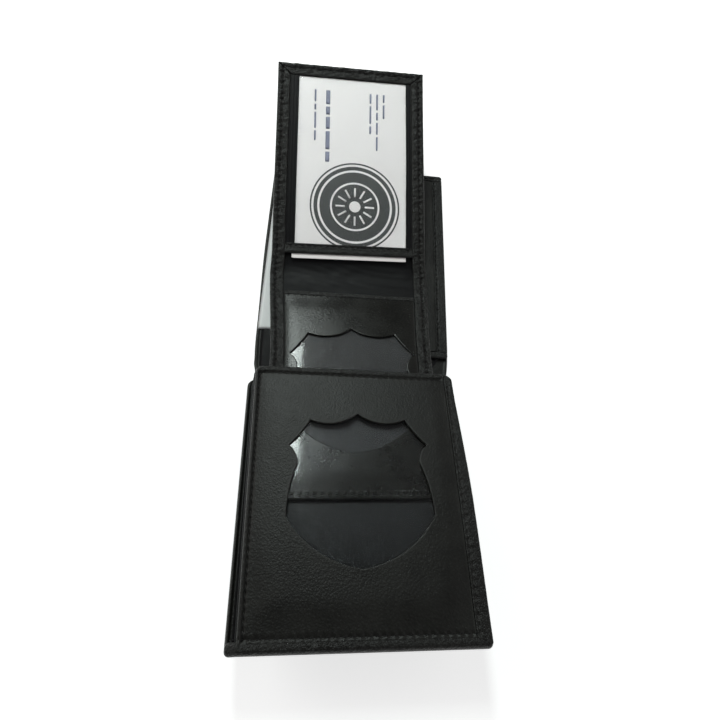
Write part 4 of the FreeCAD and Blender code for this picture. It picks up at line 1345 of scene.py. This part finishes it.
# Top of the hem: a flat band with a rounded free edge, and the seam's valley along its foot
def insertHemTop(x, s):
    look, u = insertLook, square(x, s)
    fall, fallFrom, fallRun = look["hemFall"]
    band = look["hemRise"] * smooth((u - headSeam) / look["hemRiseRun"])
    dent = seamDent(x, s, [headLine], *look["headDent"]) + crinkled(x, s, look["hemCrinkle"], 1.7)
    return insertTop + band + dent - fall * smooth((headSeam - fallFrom - u) / fallRun)


# Badge panel of the insert with its shield cut out, its sewn foot and its hem
def makeInsertPanel():
    look = insertLook
    corners = [(-panelHalf, 0), (panelHalf, 0), (panelHalf, panelHead - look["headDrop"]),
               (-panelHalf, panelHead)]
    shield = shieldOutline(look["badgeOffset"], look["shieldTip"])
    panel = holedSlab(corners, look["panelCorner"], shield, insertFace, insertPanelTop, putFold,
                      look["panelRings"], look["holeRounding"], look["holeRimHighlight"])
    foot = slab((-panelHalf, panelHalf, *look["panelSpan"]), (0, look["footSeam"], *look["footSpan"]),
                insertFace, insertFootTop, putFold, look["footRounding"], look["footCorner"])
    makePiece("insertBadgePanel", sleekLeather, [panel, foot], ("insert_badge_panel",), "badge_insert")
    hem = slab((-panelHalf, panelHalf, *look["hemAcross"]),
               (headSeam - look["hemBelow"], panelHead + look["hemOut"], *look["hemAlong"]),
               insertFace + look["hemFloor"], insertHemTop, putFold, look["hemRounding"], look["hemCorner"],
               insertHemPlan)
    makePiece("insertPanelHem", edgeLeather, [hem], ("insert_panel_hem",), "badge_insert")


# Thread of the insert: across its foot and head, and up both sides, where it bends at the fold
def makeInsertStitching():
    look = insertLook
    runs = stitches([footLine], insertTop + wallet["hair"], putFold, sideThreadLook)
    runs += stitches([headLine], insertTop - look["headThreadSink"], putFold, threadLook)
    makePiece("insertStitching", thread, runs, ("insert_stitches",), "badge_insert")
    runs = stitches(sideLines, lambda x, s: sideLevel(s) - look["sideThreadSink"], putFold, sideThreadLook)
    bendAtFold(makePiece("sideStitching", thread, runs, ("insert_stitches", "flap_stitches")))


# Top of the flap's film: level, with a slow wander
def flapFilmTop(x, s):
    wave = insertLook["flapWave"]
    return insertLook["filmLevel"] - wave + wave * wander(x, s, insertLook["flapWaveLength"], 0.9)


# Top of the strap: a roll along its foot, a seam along its head, and fine creases
def strapTop(x, s):
    look = insertLook
    roll = look["strapRoll"] * bell(s - strapLow - look["strapRollAt"], look["strapRollWidth"])
    dent = seamDent(x, s, [strapLine], *look["strapSeam"]) + crinkled(x, s, look["strapCrinkle"], 4)
    return wallet["flapTop"] - look["strapDrop"] + roll + dent


# Film over the card, the strap across its foot, and their thread
def makeCardWindow():
    look, edge, step = insertLook, insertLook["filmEdge"], insertLook["filmStep"]
    window = slab((-windowHalf, windowHalf, edge, step), (strapLow, windowEnd, edge, step),
                  look["filmLevel"] - wallet["film"], flapFilmTop, putFold, edge)
    makePiece("cardWindow", film, [window], ("flap_window",), "card_flap")
    half = windowHalf + look["strapOut"]
    strap = slab((-half, half, *look["strapAcross"]),
                 (strapLow, strapHigh, *look["strapAlong"], (strapSeam,)), look["filmLevel"], strapTop,
                 putFold, look["strapRounding"], look["strapRounding"])
    makePiece("cardStrap", edgeLeather, [strap], ("card_strap",), "card_flap")
    level = wallet["flapTop"] - look["sideThreadSink"]
    runs = stitches([topLine], level, putFold, sideThreadLook)
    runs += stitches([strapLine], level, putFold, threadLook)
    makePiece("flapStitching", thread, runs, ("flap_stitches",), "card_flap")


# Narrow dark welts on the film along both sides of the card: ribs by a cosine across each
def makeWelts():
    look, welts = insertLook, []
    foot, head = strapHigh - look["weltEnds"][0], windowEnd + look["weltEnds"][1]
    for side, near in zip((-1, 1), look["weltIn"]):
        low, high = sorted((side * near, side * (windowHalf + look["weltOut"])))

        # ribs of the welt, counted from its inner side
        def top(x, s):
            rib = np.cos((abs(x) - near) * 2 * np.pi / look["weltPitch"])
            return look["filmLevel"] + look["weltRise"] * (1 - look["weltRib"] * (1 - rib))

        welts.append(slab((low, high, *look["weltAcross"]), (foot, head, *look["weltAlong"]),
                          look["filmLevel"] - look["weltSink"], top, putFold, look["weltRounding"]))
    makePiece("windowWelts", nylon, welts, (), "card_flap")


# Card behind the flap's window, with a plain print: a ringed round mark with spokes, and rows of short bars;
# rings are inner and outer radius, a spoke is half width, near and far end, a row is x, y, width and lengths
cardLook = {
    "half": 27.0, "foot": 1.5, "length": 88.5, "low": 1.22, "thickness": 0.4, "curl": 0.85, "curlRun": 2.9,
    "curlMarks": (1, 2), "step": 1.0, "spokeSteps": (0.3, 0.8), "barSteps": (0.5, 1.0), "barCorner": 0.1,
    "edge": 0.12, "corner": 0.6, "ink": 0.03, "inkEdge": 0.1, "ringPoints": 96, "rimSteps": (0.05, 0.15),
    "markAt": (2.4, 27.5), "rings": [(20.6, 21.4), (17.8, 19.6), (0.2, 16.8)],
    "paleRings": [(10.9, 11.8), (0.2, 2.7)], "spokes": 12, "spoke": (0.45, 4.7, 9.2), "wordGap": 1.1,
    "rows": [(-17.5, 84.0, 0.9, (6, 3, 8, 5)), (-12.0, 84.0, 2.0, (7, 4, 6, 9, 5)),
             (9.0, 84.0, 0.9, (5, 9, 4)), (12.2, 84.0, 0.9, (8, 4, 6, 7)), (15.4, 84.0, 0.9, (4, 7))],
}
cardFoot = flapFoot + cardLook["foot"]


# Flat ring of ink: angle round it, and a low section across it with rounded rims
def inkRing(middle, inner, outer, level):
    turn = np.linspace(0, 2 * np.pi, cardLook["ringPoints"] + 1)[:-1]
    rim, flank = cardLook["rimSteps"]
    across = np.array([inner, inner + rim, inner + flank, (inner + outer) / 2, outer - flank, outer - rim,
                       outer, outer - rim, inner + rim])
    height = level + cardLook["ink"] * np.array([0, 1, 1, 1, 1, 1, 0, -1, -1])
    x = middle[0] + np.outer(across, np.cos(turn))
    y = flapFoot + middle[1] + np.outer(across, np.sin(turn))
    flat = np.stack([x, y, np.broadcast_to(height[:, None], x.shape)], -1).reshape(-1, 3)
    return {"points": putArc(*flat.T), "faces": ringQuads(np.arange(x.size).reshape(x.shape)), "flat": flat,
            "rubAndRimHighlight": np.zeros(x.size)}


# Thin slab of ink: as far above the level as below it
def inkBar(across, along, level, corner=0.0, plan=None):
    ink, edge = cardLook["ink"], cardLook["inkEdge"]
    return slab(across, along, level - ink, level + ink, putArc, edge, corner, plan)


# Spoke of ink from the mark's middle outwards: a bar turned about the middle
def inkSpoke(middle, turn, level):
    half, near, far = cardLook["spoke"]
    edge = cardLook["inkEdge"]
    c, s = np.cos(turn), np.sin(turn)

    # turn by the angle, then a move to the mark's middle
    def plan(x, y):
        return middle[0] + x * c - y * s, flapFoot + middle[1] + x * s + y * c

    fine, coarse = cardLook["spokeSteps"]
    return inkBar((-half, half, edge, fine), (near, far, edge, coarse), level, plan=plan)


# Row of short bars down the card: each starts a gap after the one before
def inkRow(x, y, wide, lengths, level):
    edge, corner = cardLook["inkEdge"], cardLook["barCorner"]
    fine, coarse = cardLook["barSteps"]
    ends = flapFoot + y - np.cumsum([0] + [long + cardLook["wordGap"] for long in lengths[:-1]])
    return [inkBar((x, x + wide, edge, fine), (end - long, end, edge, coarse), level, corner)
            for end, long in zip(ends, lengths)]


# Underside of the card: level, and its free foot below the strap curls up by the square of the way down
def cardLow(x, s):
    run = cardLook["curlRun"]
    return cardLook["low"] + cardLook["curl"] * np.clip((cardFoot + run - s) / run, 0, 1) ** 2


# Card and its print: a slab of one thickness, with ink on its face and the pale motif on the ink
def makeCard():
    look, level = cardLook, cardLook["low"] + cardLook["thickness"]
    curlMarks = cardFoot + np.array(look["curlMarks"])
    card = slab((-look["half"], look["half"], look["edge"], look["step"]),
                (cardFoot, cardFoot + look["length"], look["edge"], look["step"], curlMarks),
                cardLow, lambda x, s: cardLow(x, s) + look["thickness"], putArc, look["edge"], look["corner"])
    makePiece("idCard", cardStock, [card], ("id_card",), "id_card")
    rings = [inkRing(look["markAt"], *ring, level) for ring in look["rings"]]
    makePiece("cardMark", charcoalInk, rings, (), "id_card")
    turns = np.linspace(0, 2 * np.pi, look["spokes"], endpoint=False)
    pale = [inkRing(look["markAt"], *ring, level + look["ink"]) for ring in look["paleRings"]]
    pale += [inkSpoke(look["markAt"], turn, level + look["ink"]) for turn in turns]
    makePiece("cardMotif", cardStock, pale, (), "id_card")
    bars = [bar for row in look["rows"] for bar in inkRow(*row, level)]
    makePiece("cardBars", slateInk, bars, (), "id_card")


makeCover()
makeRearPanel()
makeRearBorders()
makeRearGusset()
makeSlip()
makePocketBack()
makePocketEdges()
makeBadgeWindow()
makeBadgePanel()
makeFrontBorder()
makeFrontGusset()
makeInsertBack()
makeInsertBorders()
makeInsertWindow()
makeInsertPanel()
makeInsertStitching()
makeCardWindow()
makeWelts()
makeCard()


# Studio in metres: pale floor, soft sky, a narrow soft box behind and a wide weak one on the left
studio = {
    "floorSize": 3.0, "floorDrop": 0.0002, "floorColour": (0.9, 0.9, 0.9, 1), "floorRoughness": 0.9,
    "floorWhite": 0.6, "white": (1, 1, 1, 1),
    "skyLow": 0.75, "skyHigh": 0.12, "skySide": 0.7, "skyRight": 1.0, "skyBack": 0.75, "skyStrength": 0.28,
    "heightBand": (0.6, 0.96), "sideBand": (0.06, 0.6), "rightBand": (0.08, 0.35), "backBand": (-0.2, 0.6),
    "boxes": [
        {"at": (-0.0866, 0.2726, 0.4813), "aim": (-0.0086, -0.0474, 0.0363), "up": (-0.09, 0, 1),
         "size": (0.08, 0.235), "power": 1.3, "colour": (0.9, 1.0, 0.96)},
        {"at": (-0.45, 0.13, 0.36), "aim": (0, 0, 0.01), "up": (0, 0, 1),
         "size": (0.3, 0.3), "power": 0.7, "colour": (1.0, 1.0, 0.97)}],
}


# Square floor with its middle under the part; where it is seen, a little white is added to its own shade
def makeFloor():
    mesh = bpy.data.meshes.new("floor")
    corners = np.array([(-1, -1, 0), (1, -1, 0), (1, 1, 0), (-1, 1, 0)]) * studio["floorSize"] / 2
    mesh.from_pydata((corners - (0, 0, studio["floorDrop"])).tolist(), [], [(0, 1, 2, 3)])
    floor = bpy.data.objects.new("floor", mesh)
    bpy.context.scene.collection.objects.link(floor)
    material, tree, shader = newMaterial("paleFloor")
    ray = addNode(tree, "ShaderNodeLightPath").outputs
    seen = combined(tree, "MAXIMUM", ray["Is Camera Ray"], ray["Is Glossy Ray"])
    seen = combined(tree, "MAXIMUM", seen, ray["Is Transmission Ray"])
    fill(tree, shader, {
        "Base Color": studio["floorColour"], "Roughness": studio["floorRoughness"],
        "Emission Color": studio["white"],
        "Emission Strength": combined(tree, "MULTIPLY", seen, studio["floorWhite"])})
    mesh.materials.append(material)


# Sky: weaker overhead, stronger to both sides and most to the right, weaker behind, and white where seen
def makeSky():
    world = bpy.data.worlds.new("studio")
    bpy.context.scene.world = world
    world.use_nodes = True
    tree = world.node_tree
    way = addNode(tree, "ShaderNodeTexCoord").outputs["Generated"]
    parted = addNode(tree, "ShaderNodeSeparateXYZ", {0: way}).outputs
    aside = combined(tree, "MULTIPLY", parted["X"], parted["X"])
    shade = added(tree, mapped(tree, parted["Z"], *studio["heightBand"], studio["skyLow"], studio["skyHigh"]),
                  mapped(tree, aside, *studio["sideBand"], 0, studio["skySide"]),
                  mapped(tree, parted["X"], *studio["rightBand"], 0, studio["skyRight"]))
    behind = mapped(tree, parted["Y"], *studio["backBand"], 1, studio["skyBack"])
    shade = combined(tree, "MULTIPLY", shade, behind)
    lit = combined(tree, "MULTIPLY", shade, studio["skyStrength"])
    seen = addNode(tree, "ShaderNodeLightPath").outputs["Is Camera Ray"]
    fill(tree, tree.nodes["Background"], {"Color": studio["white"],
                                          "Strength": combined(tree, "MAXIMUM", lit, seen)})


# Soft boxes: a flat lamp for each entry, turned to its aim
def makeBoxes():
    for look in studio["boxes"]:
        lamp = bpy.data.lights.new("softBox", "AREA")
        lamp.shape = "RECTANGLE"
        lamp.size, lamp.size_y = look["size"]
        lamp.energy = look["power"]
        lamp.color = look["colour"]
        box = bpy.data.objects.new("softBox", lamp)
        bpy.context.scene.collection.objects.link(box)
        spot = np.array(look["at"])
        aimAt(box, spot, np.array(look["aim"]) - spot, np.array(look["up"], float))


# Turns an object so that its -Z looks along a direction, with its +Y nearest to up
def aimAt(thing, spot, look, up):
    look = look / np.linalg.norm(look)
    right = np.cross(look, up)
    right = right / np.linalg.norm(right)
    turned = np.eye(4)
    turned[:3] = np.stack([right, np.cross(right, look), -look, spot], 1)
    thing.matrix_world = Matrix(turned.tolist())


# Camera as fitted to the view: lens and sensor in millimetres, place in metres
camera = {
    "lens": 28.18, "sensor": 36.0, "clipStart": 0.005,
    "at": (-0.0136, -0.1613, 0.2274), "look": (0.0708, 0.4262, -0.9019), "up": (-0.0718, 0.904, 0.4215),
}


# Camera turned along its look
def makeCamera():
    view = bpy.data.cameras.new("photoCamera")
    view.lens = camera["lens"]
    view.sensor_width = camera["sensor"]
    view.clip_start = camera["clipStart"]
    eye = bpy.data.objects.new("photoCamera", view)
    bpy.context.scene.collection.objects.link(eye)
    aimAt(eye, np.array(camera["at"]), np.array(camera["look"]), np.array(camera["up"]))
    bpy.context.scene.camera = eye


makeFloor()
makeSky()
makeBoxes()
makeCamera()
bpy.context.scene.view_settings.view_transform = "Standard"
print("studio made")
